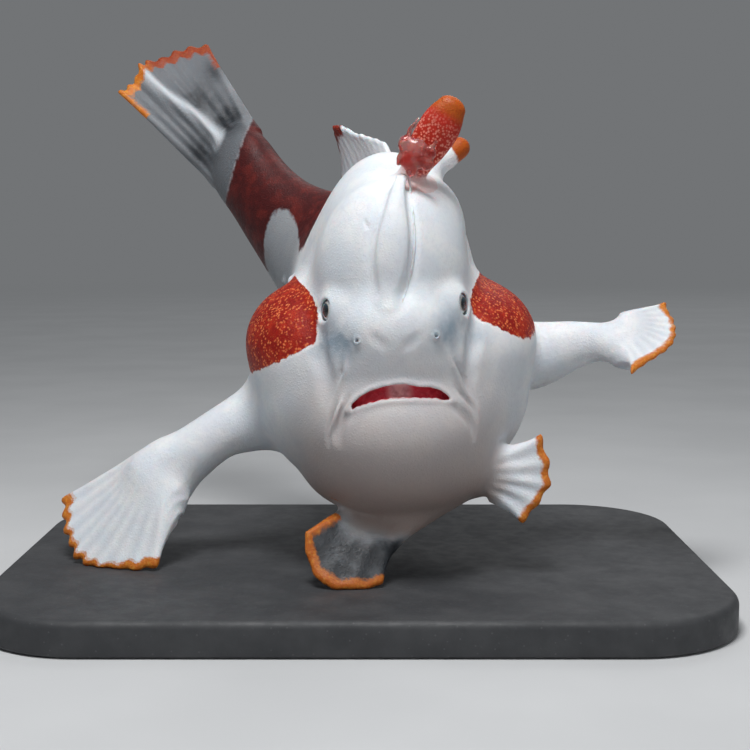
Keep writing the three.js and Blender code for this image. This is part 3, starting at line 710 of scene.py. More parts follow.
def sculptWarts(field):
    for n in range(warts["count"]):
        side = 1 if n % 2 else -1
        place = onFlank(side, draws.uniform(*warts["back"]), draws.uniform(*warts["height"]))
        size = draws.uniform(*warts["size"])
        middle = place - np.array([side * warts["sink"] * size, 0, 0])
        addOvals(field, [oval(middle, (size,) * 3, np.eye(3), warts["blend"])], margin=0.8)


def sculptBody():
    print("body masses")
    field, tail, head = (newField(bodyGrid) for _ in range(3))
    addOvals(field, trunkOvals)
    addOvals(tail, tailOvals)
    addOvals(head, headOvals)
    behind = blend(field["values"], tail["values"], bodyShape["rearBlend"])
    field["values"] = blend(behind, head["values"], bodyShape["headBlend"])
    return field


def sculptLimbs(field):
    print("limbs and fins")
    for limb in limbs.values():
        points, quads = limbMesh(limb["rows"], limb.get("upward", (0, 0, 1)))
        addClosed(field, points, quads, limb["blend"])
    samples = {}
    for name, fin in fins.items():
        roots, bends, tips = fan(fin["rays"], fin["roots"], fin["tips"], fin["sag"])
        uneven = 1 + rayUneven["spread"] * draws.standard_normal(fin["rays"])
        uneven = np.clip(uneven, rayUneven["least"], rayUneven["most"])
        tips = roots + (tips - roots) * uneven[:, None]
        points, quads, *samples[name] = finMesh(roots, bends, tips, fin)
        addClosed(field, points, quads, fin["blend"])
    return samples


def inward(points, depth):  # points moved back into the face
    return points + np.array([0, 1, 0]) * np.asarray(depth)[:, None]


def sculptFace(field):
    print("face")
    sculptForehead(field)
    sculptCreases(field)
    for side in (-1, 1):
        sculptEye(field, side)
        sculptHole(field, nosePlace(side), noseShape, side)
        sculptHole(field, onFlank(side, poreShape["back"], poreShape["height"]), poreShape, side)
    sculptMouth(field)


def sculptForehead(field):
    rows = []
    for height, across, wide, thick in forehead["ridge"]:
        rows.append((*onFace(across, height, forehead["ridgeSink"]), thick, wide))
    rows.append(forehead["ridgeTop"])
    for shape, steps, k in ((rows, 60, forehead["ridgeBlend"]), (forehead["club"], 50, forehead["clubBlend"])):
        points, quads = limbMesh(shape, (0, -1, 0), steps)
        addClosed(field, points, quads, k)


def sculptCreases(field):
    steps, power, lift = grooveEnds.values()
    fade = swell(steps, power)
    for wide, deep, soft, places in grooves:
        # held out so that only its inner part cuts into the skin
        out = wide - deep * fade + lift * soft * (1 - fade)
        addStrand(field, inward(onFace(*route(places, steps).T), -out), wide, soft, cut=True)
    steps, power, sink, thin, k = foldEnds.values()
    fade = swell(steps, power)
    for thick, places in folds:
        strand = inward(onFace(*route(places, steps).T), thick * sink * (1 - fade))
        addStrand(field, strand, thick * mix(thin, 1, fade), k)


def sculptHole(field, place, shape, side):  # raised ring round a hole
    facing, bore = (unit(shape[way] * np.array([side, 1, 1])) for way in ("facing", "bore"))
    rim = ringPoints(place + facing * shape["rimLift"], facing, shape["radius"], shape["steps"])
    addStrand(field, rim, shape["rim"], shape["rimBlend"])
    hole = [place + bore * depth for depth in shape["holeDepth"]]
    addStrand(field, hole, shape["hole"], shape["holeBlend"], cut=True)


def sculptEye(field, side):
    shape, eye, gaze = eyeShape, eyePlace(side), gazeOf(side)
    mound = shape["radius"] + shape["skin"]
    addOvals(field, [oval(eye, (mound,) * 3, np.eye(3), shape["moundBlend"])])
    opening = [eye + gaze * forward for forward in shape["openingDepth"]]
    addStrand(field, opening, shape["opening"], shape["openingBlend"], cut=True)
    wide, forward, thick = shape["lid"]
    addStrand(field, ringPoints(eye + gaze * forward, gaze, wide), thick, shape["lidBlend"])
    part, x, y, z = partOf(field, eye - 2.6, eye + 2.6)
    ball = np.sqrt((x - eye[0]) ** 2 + (y - eye[1]) ** 2 + (z - eye[2]) ** 2) - (shape["radius"] + shape["gap"])
    field["values"][part] = carve(field["values"][part], ball.astype(np.float32), shape["gapBlend"])


def sculptMouth(field):
    shape, values = mouthShape, field["values"]
    lipLines = {edge: np.array(shape[edge]) for edge in ("upper", "lower")}
    share = swell(40, shape["lipFade"], 0.03)
    endSink, endThick = shape["lipEnd"]
    for edge in lipLines:
        lift, thick = shape[edge + "Lip"]
        across, height = route(lipLines[edge], 40).T
        points = inward(onFace(across, height + lift * share), endSink * (1 - share))
        addStrand(field, points, thick * mix(endThick, 1, share), shape["lipBlend"])
    ends = onFace(*lipLines["upper"][[0, -1]].T)
    part, x, y, z = partOf(field, ends.min(0) - (0.5, 4, 1.5), ends.max(0) + (0.5, 2, 3.5))
    levelX = x * rollCos + (z - rollPivot[2]) * rollSin
    levelZ = -x * rollSin + (z - rollPivot[2]) * rollCos + rollPivot[2]
    upper, lower = (np.interp(levelX, *lipLines[edge].T) for edge in ("upper", "lower"))
    first, last = lipLines["upper"][[0, -1], 0]
    share = np.clip((levelX - first) * (last - levelX) / shape["teethFade"], 0, 1)
    waves, uneven = shape["teethPerMm"]
    teeth = shape["teeth"] * share * (0.5 + 0.5 * np.sin(levelX * waves + 2 * np.sin(levelX * uneven)))
    opening = np.maximum(levelZ - upper, lower + teeth - levelZ)
    closed = np.maximum(first - levelX, levelX - last) + shape["corner"]
    opening = np.maximum.reduce(np.broadcast_arrays(opening, closed, -(values[part] + shape["depth"])))
    values[part] = carve(values[part], opening.astype(np.float32), shape["edgeBlend"])


def flatSoles(field):
    z = field["low"][2] + field["step"] * np.arange(field["values"].shape[2])
    below = (soleTrim - soleGap - z).astype(np.float32)[None, None, :]
    np.maximum(field["values"], below, out=field["values"])


def meshOf(field):
    grid, step = openvdb.FloatGrid(farAway), field["step"]
    band = 3 * step
    grid.copyFromArray(np.clip(field["values"], -band, band))
    points, quads = grid.convertToQuads(isovalue=0.0)
    return np.asarray(points * step + field["low"], float), np.asarray(quads)


def largestPiece(points, quads):
    label = np.arange(len(points))
    while True:
        low = label[quads].min(1)
        new = label.copy()
        for c in range(4):
            np.minimum.at(new, quads[:, c], low)
        new = new[new]
        if (new == label).all():
            break
        label = new
    keep = label == np.bincount(label).argmax()
    index = np.cumsum(keep) - 1
    return points[keep], index[quads[keep[quads[:, 0]]]]


def relax(points, quads, turns=2, shares=(0.5, -0.52)):  # evens out the steps that the grid leaves
    following = np.roll(quads, 1, 1)
    ends = np.concatenate([quads, following]).reshape(-1)
    starts = np.concatenate([following, quads]).reshape(-1)
    count = np.bincount(ends, minlength=len(points))[:, None]
    for share in shares * turns:
        mean = np.stack([np.bincount(ends, points[starts, c], len(points)) for c in range(3)], 1) / count
        points = points + (mean - points) * share
    return points


def link(name, data):  # a new object in the scene
    made = bpy.data.objects.new(name, data)
    bpy.context.scene.collection.objects.link(made)
    return made


def objectFrom(name, points, faces):
    mesh = bpy.data.meshes.new(name)
    if isinstance(faces, list):
        mesh.from_pydata(toWorld(points).tolist(), [], faces)
    else:
        mesh.vertices.add(len(points))
        mesh.vertices.foreach_set("co", toWorld(points).astype(np.float32).ravel())
        mesh.loops.add(faces.size)
        mesh.loops.foreach_set("vertex_index", faces.ravel().astype(np.int32))
        mesh.polygons.add(len(faces))
        mesh.polygons.foreach_set("loop_start", np.arange(0, faces.size, 4, dtype=np.int32))
    mesh.update(calc_edges=True)
    mesh.polygons.foreach_set("use_smooth", np.ones(len(mesh.polygons), bool))
    return link(name, mesh)


def addMark(piece, name, values):
    mark = piece.data.attributes.new(name, "FLOAT", "POINT")
    mark.data.foreach_set("value", np.asarray(values, np.float32))


def nodeTree(name):
    material = bpy.data.materials.new(name)
    material.use_nodes = True
    return material, material.node_tree, material.node_tree.nodes["Principled BSDF"]


def setInputs(tree, node, inputs):  # values and colours, or outputs of other nodes
    for key, value in dict(inputs).items():
        if isinstance(value, bpy.types.NodeSocket):
            tree.links.new(value, node.inputs[key])
        else:
            node.inputs[key].default_value = value


def addNode(tree, kind, inputs=(), **settings):
    node = tree.nodes.new("ShaderNode" + kind)
    for key, value in settings.items():
        setattr(node, key, value)
    setInputs(tree, node, inputs)
    return node


def marked(tree, name):
    return addNode(tree, "Attribute", attribute_name=name).outputs["Fac"]


def maths(tree, operation, a, b=0.0, c=0.0):
    return addNode(tree, "Math", {0: a, 1: b, 2: c}, operation=operation).outputs[0]


def times(tree, *values):
    product = values[0]
    for value in values[1:]:
        product = maths(tree, "MULTIPLY", product, value)
    return product


def ramp(tree, value, low, high, start=0.0, end=1.0):  # smooth change from start to end
    inputs = {"Value": value, "From Min": low, "From Max": high, "To Min": start, "To Max": end}
    return addNode(tree, "MapRange", inputs, interpolation_type="SMOOTHSTEP").outputs["Result"]


def texture(tree, kind, output, perMm, inputs=(), **settings):  # in millimetres on the piece itself
    place = addNode(tree, "TexCoord").outputs["Object"]
    inputs = {"Vector": place, "Scale": perMm / mm, **dict(inputs)}
    return addNode(tree, kind, inputs, **settings).outputs[output]


def noise(tree, perMm, depth=3.0, rough=0.5):
    return texture(tree, "TexNoise", "Fac", perMm, {"Detail": depth, "Roughness": rough})


def cells(tree, perMm, feature="F1"):
    return texture(tree, "TexVoronoi", "Distance", perMm, feature=feature)


def tint(tree, share, below, above):  # colours are tuples or the outputs of other nodes
    below, above = ((*value, 1) if isinstance(value, tuple) else value for value in (below, above))
    return addNode(tree, "Mix", {0: share, 6: below, 7: above}, data_type="RGBA").outputs[2]


def bump(tree, height, deep):
    return addNode(tree, "Bump", {"Height": height, "Distance": deep * mm}).outputs["Normal"]


# Where the colours of the skin lie. Patches are worked out as millimetres inside their edge.
noColour = -3.0  # well outside every edge
markings = {
    "round": 2.5,  # how far the corners at the back of a patch are rounded
    "lowWaves": (0.4, 0.9),  # how high the edges wave, and how often
    "backWaves": (0.8, 0.8),
    "saddleWaves": ((0.5, 0.7), (0.9, 0.8)),
    "backSlope": 0.25,
    "cheekRight": {
        "low": ((-6.7, 20.3), (-11.5, 17.8)),
        "inner": (-6.5, 22.7, 0.27, 0.035),  # middle of the edge, and how it bends above and below that
        "back": 17.5,
        "top": 27.6,
        "out": 99,
    },
    "cheekLeft": {
        "low": ((7.2, 22.4), (12.5, 19.9)),
        "inner": (6.75, 23.8, 0.26, 0.2),
        "back": 17.0,
        "top": 27.8,
        "out": 13.2,
    },
    "spots": [
        # centre and half sizes
        ((-5.4, 28.4, 31.6), (4.4, 3.4, 4.0)),
        ((6.4, 22.5, 28.0), (2.4, 2.6, 2.2)),
        ((9.6, 22.8, 15.6), (3.2, 3.0, 2.6)),
        ((-9.8, 21.5, 11.2), (3.0, 2.6, 2.2)),
        ((2.5, 27.5, 20.5), (2.6, 2.4, 2.2)),
    ],
    "tailStart": ((-13.5, 25.2), (-8.1, 28.4)),
    "tailEnd": ((-17.4, 33.2), (-14.9, 41.0)),
    "tailEgg": ((-10.9, 28.0), (1.95, 4.1)),
    "saddle": (-3.5, 16.5),  # where it ends across and in front
    "behindBand": (-14.5, 30, 31),
    # strength of the painted shade on each part, and where it begins and is full
    "dimShades": {"tail": (0.95, 0.3, -0.2), "rear": (0.6, 23, 27), "egg": (0.74, -1.6, 0.3)},
    # painted shade under the snout and chin, darker towards the bottom
    "chin": {"top": 24, "deep": 17, "back": (19, 12), "middle": 0.5, "sides": (12.5, 6.5)},
    # centre, size and strength of the painted blue-grey shade under the eyes
    "underEyeShades": [
        ((-5.3, 3.1, 20.7), 1.9, 1.25), ((-3.9, 1.9, 20.2), 1.4, 0.9), ((-6.3, 5.5, 19.6), 1.4, 0.8),
        ((5.2, 2.2, 22.1), 1.9, 1.0), ((4.3, 1.5, 20.9), 1.3, 0.7), ((7.0, 4.8, 21.2), 1.4, 0.8),
    ],
    "noseShade": (0.5, 0.7),
    # centre and size of the dark clouds on the tail fin
    "tailSmudges": [
        ((-20.9, 39.5, 44.0), 1.9), ((-16.9, 38.0, 42.4), 2.0), ((-20.4, 37.4, 38.3), 1.9),
        ((-19.0, 39.4, 47.6), 1.4), ((-18.0, 37.4, 40.9), 1.2),
    ],
}


def lineSide(x, z, a, b):  # distance above a line
    run = np.subtract(b, a)
    return ((x - a[0]) * -run[1] + (z - a[1]) * run[0]) * np.sign(run[0]) / np.hypot(*run)


def waves(along, shape):
    height, often = shape
    return height * np.sin(often * along)


def cheekPatch(points, shape, side):
    x, y, z = points.T
    edgeX, edgeZ, above, below = shape["inner"]
    away = z - edgeZ
    inner = side * (x - edgeX) - np.where(away > 0, above, below) * away**2
    low = lineSide(x, z, *shape["low"]) + waves(y, markings["lowWaves"]) * smooth(9, 13, y)
    back = shape["back"] - y - markings["backSlope"] * (z - 21) + waves(z, markings["backWaves"])
    front = np.minimum.reduce([low, inner, shape["top"] - z])
    return blend(front, np.minimum(back, shape["out"] - side * x), markings["round"])


def ovalPatch(points, centre, half):
    q = np.linalg.norm((points - centre) / np.asarray(half), axis=1)
    return (1 - q) * np.mean(half)


def redPatches(points):
    d = np.maximum(cheekPatch(points, markings["cheekRight"], -1), cheekPatch(points, markings["cheekLeft"], 1))
    for centre, half in markings["spots"]:
        d = np.maximum(d, ovalPatch(points, centre, half))
    return d


def tailBand(points):
    x, y, z = points.T
    start = lineSide(x, z, *markings["tailStart"])
    end = -lineSide(x, z, *markings["tailEnd"])
    across, front = markings["saddle"]
    acrossWaves, frontWaves = markings["saddleWaves"]
    saddle = np.minimum(across - x + waves(y, acrossWaves), y - front + waves(z, frontWaves))
    return blend(np.minimum.reduce([start, end, -tailEgg(points)]), saddle, markings["round"])


def tailEgg(points):
    return ovalPatch(points[:, [0, 2]], *markings["tailEgg"])


def nearest(points, cloud, reach):  # index of the nearest place of a cloud, and its distance
    found, away = np.zeros(len(points), int), np.full(len(points), 99.0)
    low, high = cloud.min(0) - reach, cloud.max(0) + reach
    rows = np.flatnonzero(((points > low) & (points < high)).all(1))
    tree = KDTree(len(cloud))
    for i, place in enumerate(cloud.tolist()):
        tree.insert(place, i)
    tree.balance()
    for row, place in zip(rows.tolist(), points[rows].tolist()):
        _, found[row], away[row] = tree.find(place)
    return found, away


finReach = 1.6  # how far from a fin's middle its colours go
# Tips of the fins: where along the rays the colour starts, and its tone from orange, 0, to dark red, 1
tipColours = {
    "hand_right": {"start": 0.97, "tone": 0.1, "sides": 0.45},
    "hand_left": {"start": 0.96, "tone": 0.05, "sides": 0.45},
    "pelvic_fin_right": {"start": 0.9, "tone": 0.3, "firstRay": (0.3, 0.2, 1.4)},
    "pelvic_fin_left": {"start": 0.91, "tone": 0.15},
    "tail_fin": {"start": 0.94, "tone": 0.0, "lowTone": 0.85, "lowTip": 0.35, "sideRays": (0.7, 0.22)},
    "dorsal_fin": {"start": 0.84, "tone": 1.0, "frontTip": -1.6},
    "anal_fin": {"start": 0.9, "tone": 0.7},
}
tailHighlight = {"width": 0.42, "sides": 0.2, "sideWidth": 0.3}  # how the painted highlight brightens the fold and the outer rays
spineColours = {
    "clubReach": 2.6,
    "clubStart": 0.14,
    "clubSteep": 6,
    "spurReach": 1.9,
    "spurStart": 0.76,
    "spurSteep": 7,
}


# how hollow the surface is, for the painted shade in creases
def concavity(field, points, step=0.75):
    last = np.array(field["values"].shape) - 1

    def valueAt(p):
        i = np.clip(np.round((p - field["low"]) / field["step"]).astype(int), 0, last)
        return field["values"][tuple(i.T)]

    shifts = np.concatenate([np.eye(3), -np.eye(3)]) * step
    return -sum(valueAt(points + shift) for shift in shifts) / 6 / step


def tipOf(name, across, along, side):  # millimetres inside the coloured tip, and its tone
    look = tipColours[name]
    long = np.linalg.norm(np.subtract(fins[name]["tips"][1], fins[name]["roots"][1]))
    inTip, tone = (along - look["start"]) * long, look["tone"]
    if "sides" in look:
        inTip = inTip + look["sides"] * smooth(2.2, 0.2, side)
    if "firstRay" in look:
        start, wide, steep = look["firstRay"]
        inTip = np.maximum(inTip, np.where(along > start, (wide - across) * steep, noColour))
    if "sideRays" in look:
        start, wide = look["sideRays"]
        tone = look["lowTone"] * smooth(2.0, 4.5, across)
        inTip = inTip + look["lowTip"] * smooth(4.0, 7.0, across)
        inTip = np.maximum(inTip, np.where(along > start, wide - side, noColour))
    if "frontTip" in look:
        inTip = inTip + look["frontTip"] * smooth(6.6, 5.2, across)
    return inTip, tone


def finMarks(points, samples):
    names = ("fin", "web", "tipTone", "dimShade", "brightFold", "pelvicShade")
    marks = {name: np.zeros(len(points)) for name in names}
    marks["tipEdge"] = np.full(len(points), noColour)

    def raiseTo(mark, values):
        marks[mark] = np.maximum(marks[mark], values)

    for name, (middle, u, v) in samples.items():
        found, away = nearest(points, middle, finReach)
        near = away < finReach
        on = smooth(1.5, 0.8, away) * near
        across, along = u[found], v[found]
        side = np.minimum(across, u.max() - across)
        inTip, tone = tipOf(name, across, along, side)
        marks["tipTone"] = np.where(near, tone, marks["tipTone"])
        raiseTo("tipEdge", np.where(near, inTip, noColour))
        share = on * smooth(0.04, 0.4, along)
        raiseTo("fin", share)
        raiseTo("web", share * np.abs(across - np.round(across)) * 2)
        if name == "tail_fin":
            # painted shade greying the tail fin
            raiseTo("dimShade", markings["dimShades"]["tail"][0] * on)
            # painted highlight along the fold and on the outer rays
            crest = hump(across - foldRay(fins[name], along), tailHighlight["width"])
            raiseTo("brightFold", on * (crest + tailHighlight["sides"] * hump(side, tailHighlight["sideWidth"])))
        if name == "pelvic_fin_right":
            # painted shade greying and darkening the right pelvic fin
            raiseTo("dimShade", on * smooth(0.15, 0.5, along))
            raiseTo("pelvicShade", on * smooth(0.1, 0.5, along))
    return marks


def alongSpine(points, rows, count, reach):  # share of the length, distance, and whether that is near
    found, away = nearest(points, route(rows, count)[:, :3], reach)
    return found / (count - 1), away, away < reach


# painted shade on a part, by how far into it a point lies
def dimShadeOf(name, distance):
    strength, start, full = markings["dimShades"][name]
    return strength * smooth(start, full, distance)


def markSkin(skin, points, field, samples):
    print("markings")
    x, y, z = points.T
    marks = finMarks(points, samples)
    fin, pelvicShade = marks.pop("fin"), marks.pop("pelvicShade")
    tailMarks = tailBand(points)
    left, back, above = markings["behindBand"]
    behindBand = (x < left) * (y > back) * (z > above)
    # painted shade greying the tail fin, the tail behind the band, the rear body and the white oval
    marks["dimShade"] = np.maximum.reduce([
        marks["dimShade"],
        dimShadeOf("tail", tailMarks) * behindBand,
        dimShadeOf("rear", y) * (1 - fin),
        dimShadeOf("egg", tailEgg(points)) * smooth(18, 22, y),
    ])

    look = spineColours
    along, away, near = alongSpine(points, forehead["club"], 60, look["clubReach"])
    clubEdge = np.minimum((along - look["clubStart"]) * look["clubSteep"], (look["clubReach"] - 0.2 - away) * 2)
    marks["clubEdge"] = np.where(near, clubEdge, noColour)
    marks["clubAlong"] = along
    along, away, near = alongSpine(points, limbs["dorsal_spine_third"]["rows"], 40, look["spurReach"])
    marks["spurEdge"] = np.where(near, (along - look["spurStart"]) * look["spurSteep"], noColour)

    marks["redEdge"] = redPatches(points)
    marks["tailEdge"] = np.where(fin > 0.5, noColour, tailMarks)
    # painted shade under the eyes, and the same grey round the nostrils
    shades = markings["underEyeShades"] + [(nosePlace(side), *markings["noseShade"]) for side in (-1, 1)]
    marks["faceShade"] = sum(w * hump(np.linalg.norm(points - c, axis=1), r) for c, r, w in shades)
    flatPoints = points[:, [0, 2]]
    dusk = sum(hump(np.linalg.norm(flatPoints - (c[0], c[2]), axis=1), r) for c, r in markings["tailSmudges"])
    # the tail fin's own dark clouds, and painted shade over the right pelvic fin
    marks["tailSmudgeAndShade"] = np.where(y > 32, dusk, pelvicShade)
    # painted shade in creases, folds and hollows
    marks["creaseShade"] = concavity(field, points)

    across, depth, height = level(points).T
    ends = np.array(mouthShape["upper"])[[0, -1], 0]
    upper, lower = (np.interp(across, *np.transpose(mouthShape[edge])) for edge in ("upper", "lower"))
    inMouth = (across > ends[0] + 0.2) & (across < ends[1] - 0.2) & (depth < 5)
    inMouth &= (height > lower - 0.1) & (height < upper + 0.1)
    marks["mouth"] = np.where(inMouth, -fleshAt(points), -1)
    marks["mouthAcross"] = across - ends.mean()
    # painted shade under the snout and chin, darker towards the bottom
    chin = markings["chin"]
    under = np.clip((chin["top"] - z) / chin["deep"], 0, 1) * smooth(*chin["back"], y)
    marks["underside"] = under * smooth(*chin["sides"], np.abs(x - chin["middle"])) * (1 - fin)
    for name, values in marks.items():
        addMark(skin, name, values)


skinLook = {
    "white": (0.78, 0.82, 0.87),
    "chalk": (0.87, 0.89, 0.91),
    "mottle": (0.66, 0.69, 0.75),
    # painted shade in creases and folds
    "fold": (0.52, 0.36, 0.36),
    # blue-grey of the painted shade under the eyes and round the nostrils
    "blueShade": (0.33, 0.40, 0.47),
    # warm brown-grey of the painted shade under the snout and chin
    "underside": (0.34, 0.25, 0.215),
    "membrane": (0.46, 0.50, 0.57),
    # grey of the painted shade on the tail, rear body and right pelvic fin
    "dimShadeGrey": (0.125, 0.135, 0.15),
    # near black for the tail fin's dark clouds and the painted shade on the right pelvic fin
    "sootAndShade": (0.03, 0.034, 0.04),
    "red": (0.28, 0.007, 0.003),
    "redLight": (0.44, 0.024, 0.006),
    "speckle": (0.88, 0.23, 0.07),
    "rim": (0.90, 0.86, 0.86),
    "maroon": (0.060, 0.005, 0.005),
    "maroonLight": (0.12, 0.012, 0.009),
    "clubRed": (0.50, 0.022, 0.010),
    "clubDot": (0.95, 0.42, 0.32),
    "clubRoot": (0.78, 0.60, 0.58),
    "orange": (0.46, 0.085, 0.004),
    "tipOrange": (0.62, 0.18, 0.018),
    "tipYellow": (0.84, 0.40, 0.06),
    "tipRed": (0.24, 0.022, 0.010),
    "mouthRed": (0.66, 0.060, 0.085),
    "mouthPale": (0.80, 0.50, 0.50),
    "mouthDeep": (0.36, 0.02, 0.04),
    "roughness": (0.42, 0.58),
    "mouthWet": 0.25,
    "specular": 0.32,
    "soft": 0.3,
    "softRadius": (1.0, 0.5, 0.4),
    "softDepth": 0.7,
    "grain": 0.028,
}
# Noise per millimetre, with its detail and roughness
skinNoise = {
    "broad": (0.35, 2),
    "fine": (2.6, 4, 0.6),
    "ragged": (1.7, 4, 0.6),
    "blueShade": (0.9, 3),
    "dusk": (0.8, 3),
    "red": (0.8, 4),
    "dotGroups": (1.3, 2),
    "maroon": (0.7, 4),
    "club": (1.0, 3),
    "mouth": (1.6, 3),
    "prickles": (3.2, 4, 0.65),
}
skinDots = {"red": 3.4, "club": 4.2, "prickles": 4.6}  # per millimetre


def skinMaterial():
    look = skinLook
    material, tree, shader = nodeTree("frogfish_skin")
    spread = {name: noise(tree, *kind) for name, kind in skinNoise.items()}
    dotted = {name: cells(tree, perMm) for name, perMm in skinDots.items()}
    mark = {name: marked(tree, name) for name in (
        "underside", "faceShade", "creaseShade", "web", "dimShade", "tailSmudgeAndShade", "brightFold", "redEdge", "tailEdge",
        "clubAlong", "clubEdge", "spurEdge", "tipTone", "tipEdge", "mouth", "mouthAcross",
    )}
    ragged = times(tree, maths(tree, "SUBTRACT", spread["ragged"], 0.5), 0.7)

    def edgeOf(name):
        return maths(tree, "ADD", mark[name], ragged)

    def within(name, soft):
        return ramp(tree, edgeOf(name), -soft, soft)

    colour = tint(tree, ramp(tree, spread["broad"], 0.35, 0.65), look["white"], look["chalk"])
    colour = tint(tree, ramp(tree, spread["fine"], 0.42, 0.75, 0, 0.3), colour, look["mottle"])
    # painted shade under the snout and chin
    colour = tint(tree, times(tree, mark["underside"], 0.9), colour, look["underside"])
    # painted blue-grey shade under the eyes and round the nostrils
    blueShade = times(tree, mark["faceShade"], ramp(tree, spread["blueShade"], 0.3, 0.7, 0.45, 0.85))
    colour = tint(tree, blueShade, colour, look["blueShade"])
    # painted shade in creases, folds and hollows
    colour = tint(tree, ramp(tree, mark["creaseShade"], 0.08, 0.7, 0, 0.6), colour, look["fold"])
    colour = tint(tree, times(tree, mark["web"], 0.3), colour, look["membrane"])
    # painted shade on the tail, rear body and right pelvic fin
    colour = tint(tree, mark["dimShade"], colour, look["dimShadeGrey"])
    # the tail fin's dark clouds, and painted shade on the right pelvic fin
    dusk = times(tree, mark["tailSmudgeAndShade"], ramp(tree, spread["dusk"], 0.3, 0.6, 0.55, 1.0))
    colour = tint(tree, dusk, colour, look["sootAndShade"])
    # painted highlight along the tail fin's fold and outer rays
    colour = tint(tree, times(tree, mark["brightFold"], 0.7), colour, look["white"])

    # red patches with a pale rim and raised orange speckles
    inRed = within("redEdge", 0.07)
    colour = tint(tree, ramp(tree, edgeOf("redEdge"), -0.4, -0.1, 0, 0.7), colour, look["rim"])
    red = tint(tree, ramp(tree, spread["red"], 0.38, 0.68), look["red"], look["redLight"])
    dots = times(tree, ramp(tree, dotted["red"], 0.5, 0.24), ramp(tree, spread["dotGroups"], 0.34, 0.54))
    red = tint(tree, times(tree, dots, 0.7), red, look["speckle"])
    colour = tint(tree, inRed, colour, red)

    maroon = tint(tree, ramp(tree, spread["maroon"], 0.4, 0.7), look["maroon"], look["maroonLight"])
    colour = tint(tree, within("tailEdge", 0.2), colour, maroon)

    # club of the second spine, dotted red below and orange on its end
    fewer = ramp(tree, mark["clubAlong"], 0.95, 0.25)
    clubDots = times(tree, ramp(tree, dotted["club"], 0.54, 0.3), fewer, 0.8)
    club = tint(tree, ramp(tree, spread["club"], 0.35, 0.7), look["clubRed"], look["redLight"])
    club = tint(tree, clubDots, club, look["clubDot"])
    club = tint(tree, ramp(tree, mark["clubAlong"], 0.72, 0.93), club, look["orange"])
    colour = tint(tree, ramp(tree, mark["clubEdge"], -0.9, -0.2, 0, 0.8), colour, look["clubRoot"])
    colour = tint(tree, within("clubEdge", 0.4), colour, club)
    colour = tint(tree, within("spurEdge", 0.25), colour, look["orange"])

    tips = tint(tree, mark["tipTone"], look["tipOrange"], look["tipRed"])
    orange = maths(tree, "SUBTRACT", 1.0, mark["tipTone"])
    pale = times(tree, ramp(tree, spread["fine"], 0.45, 0.7, 0, 0.5), orange)
    tips = tint(tree, pale, tips, look["tipYellow"])
    colour = tint(tree, within("tipEdge", 0.25), colour, tips)

    inMouth = ramp(tree, mark["mouth"], 0.14, 0.4)
    middle = ramp(tree, maths(tree, "ABSOLUTE", mark["mouthAcross"]), 1.4, 0.4, 0, 0.8)
    mouth = tint(tree, middle, look["mouthRed"], look["mouthPale"])
    mouth = tint(tree, ramp(tree, spread["mouth"], 0.4, 0.7, 0, 0.5), mouth, look["mouthDeep"])
    colour = tint(tree, inMouth, colour, mouth)
    rough = ramp(tree, spread["fine"], 0.3, 0.7, *look["roughness"])
    rough = maths(tree, "SUBTRACT", rough, times(tree, inMouth, look["mouthWet"]))

    # prickly grain over the whole skin, coarser speckles in the red
    grain = maths(tree, "ADD", ramp(tree, dotted["prickles"], 0.55, 0.1, 0, 0.5), spread["prickles"])
    grain = maths(tree, "ADD", grain, times(tree, dots, inRed, 0.8))
    grain = times(tree, grain, maths(tree, "SUBTRACT", 1.0, inMouth))
    setInputs(tree, shader, {
        "Base Color": colour,
        "Roughness": rough,
        "Specular IOR Level": look["specular"],
        "Subsurface Weight": look["soft"],
        "Subsurface Radius": look["softRadius"],
        "Subsurface Scale": look["softDepth"] * mm,
        "Normal": bump(tree, grain, look["grain"]),
    })
    return material


def buildSkin():
    field = sculptBody()
    samples = sculptLimbs(field)
    sculptFace(field)
    sculptWarts(field)
    flatSoles(field)
    points, quads = largestPiece(*meshOf(field))
    points = relax(points, quads)
    print("skin of", len(points), "points")
    skin = objectFrom("frogfish_skin", points, quads)
    markSkin(skin, points, field, samples)
    skin.data.materials.append(skinMaterial())
    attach(skin, "root")
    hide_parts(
        "head", "lower_jaw", "torso", "tail_stalk", "tail_fin", "dorsal_fin", "anal_fin",
        "dorsal_spine_second", "dorsal_spine_third", "arm_left", "arm_right", "hand_left", "hand_right",
        "pelvic_fin_left", "pelvic_fin_right",
    )


buildSkin()

# Eyes
eyeLook = {
    "pupil": 0.62,  # half width, measured over the ball
    "cornea": 0.16,  # how far the clear part stands out
    "corneaEdge": (0.75, 0.2),  # angles over which it rises
    "around": 96,
    "front": (0.01, 0.9, 48),  # angles and number of the rings in front, and of those behind
    "behind": (0.95, np.pi - 0.02, 24),
    "iris": (0.80, 0.83, 0.85),
    "streak": (0.55, 0.56, 0.56),
    "ring": (0.42, 0.36, 0.30),
    "black": (0.004, 0.005, 0.007),
    # colour of the painted reflection in the upper pupil
    "pupilReflection": (0.015, 0.05, 0.075),
    "roughness": 0.12,
    "coatRoughness": 0.02,
    "ior": 1.38,
    "grain": 0.02,
}


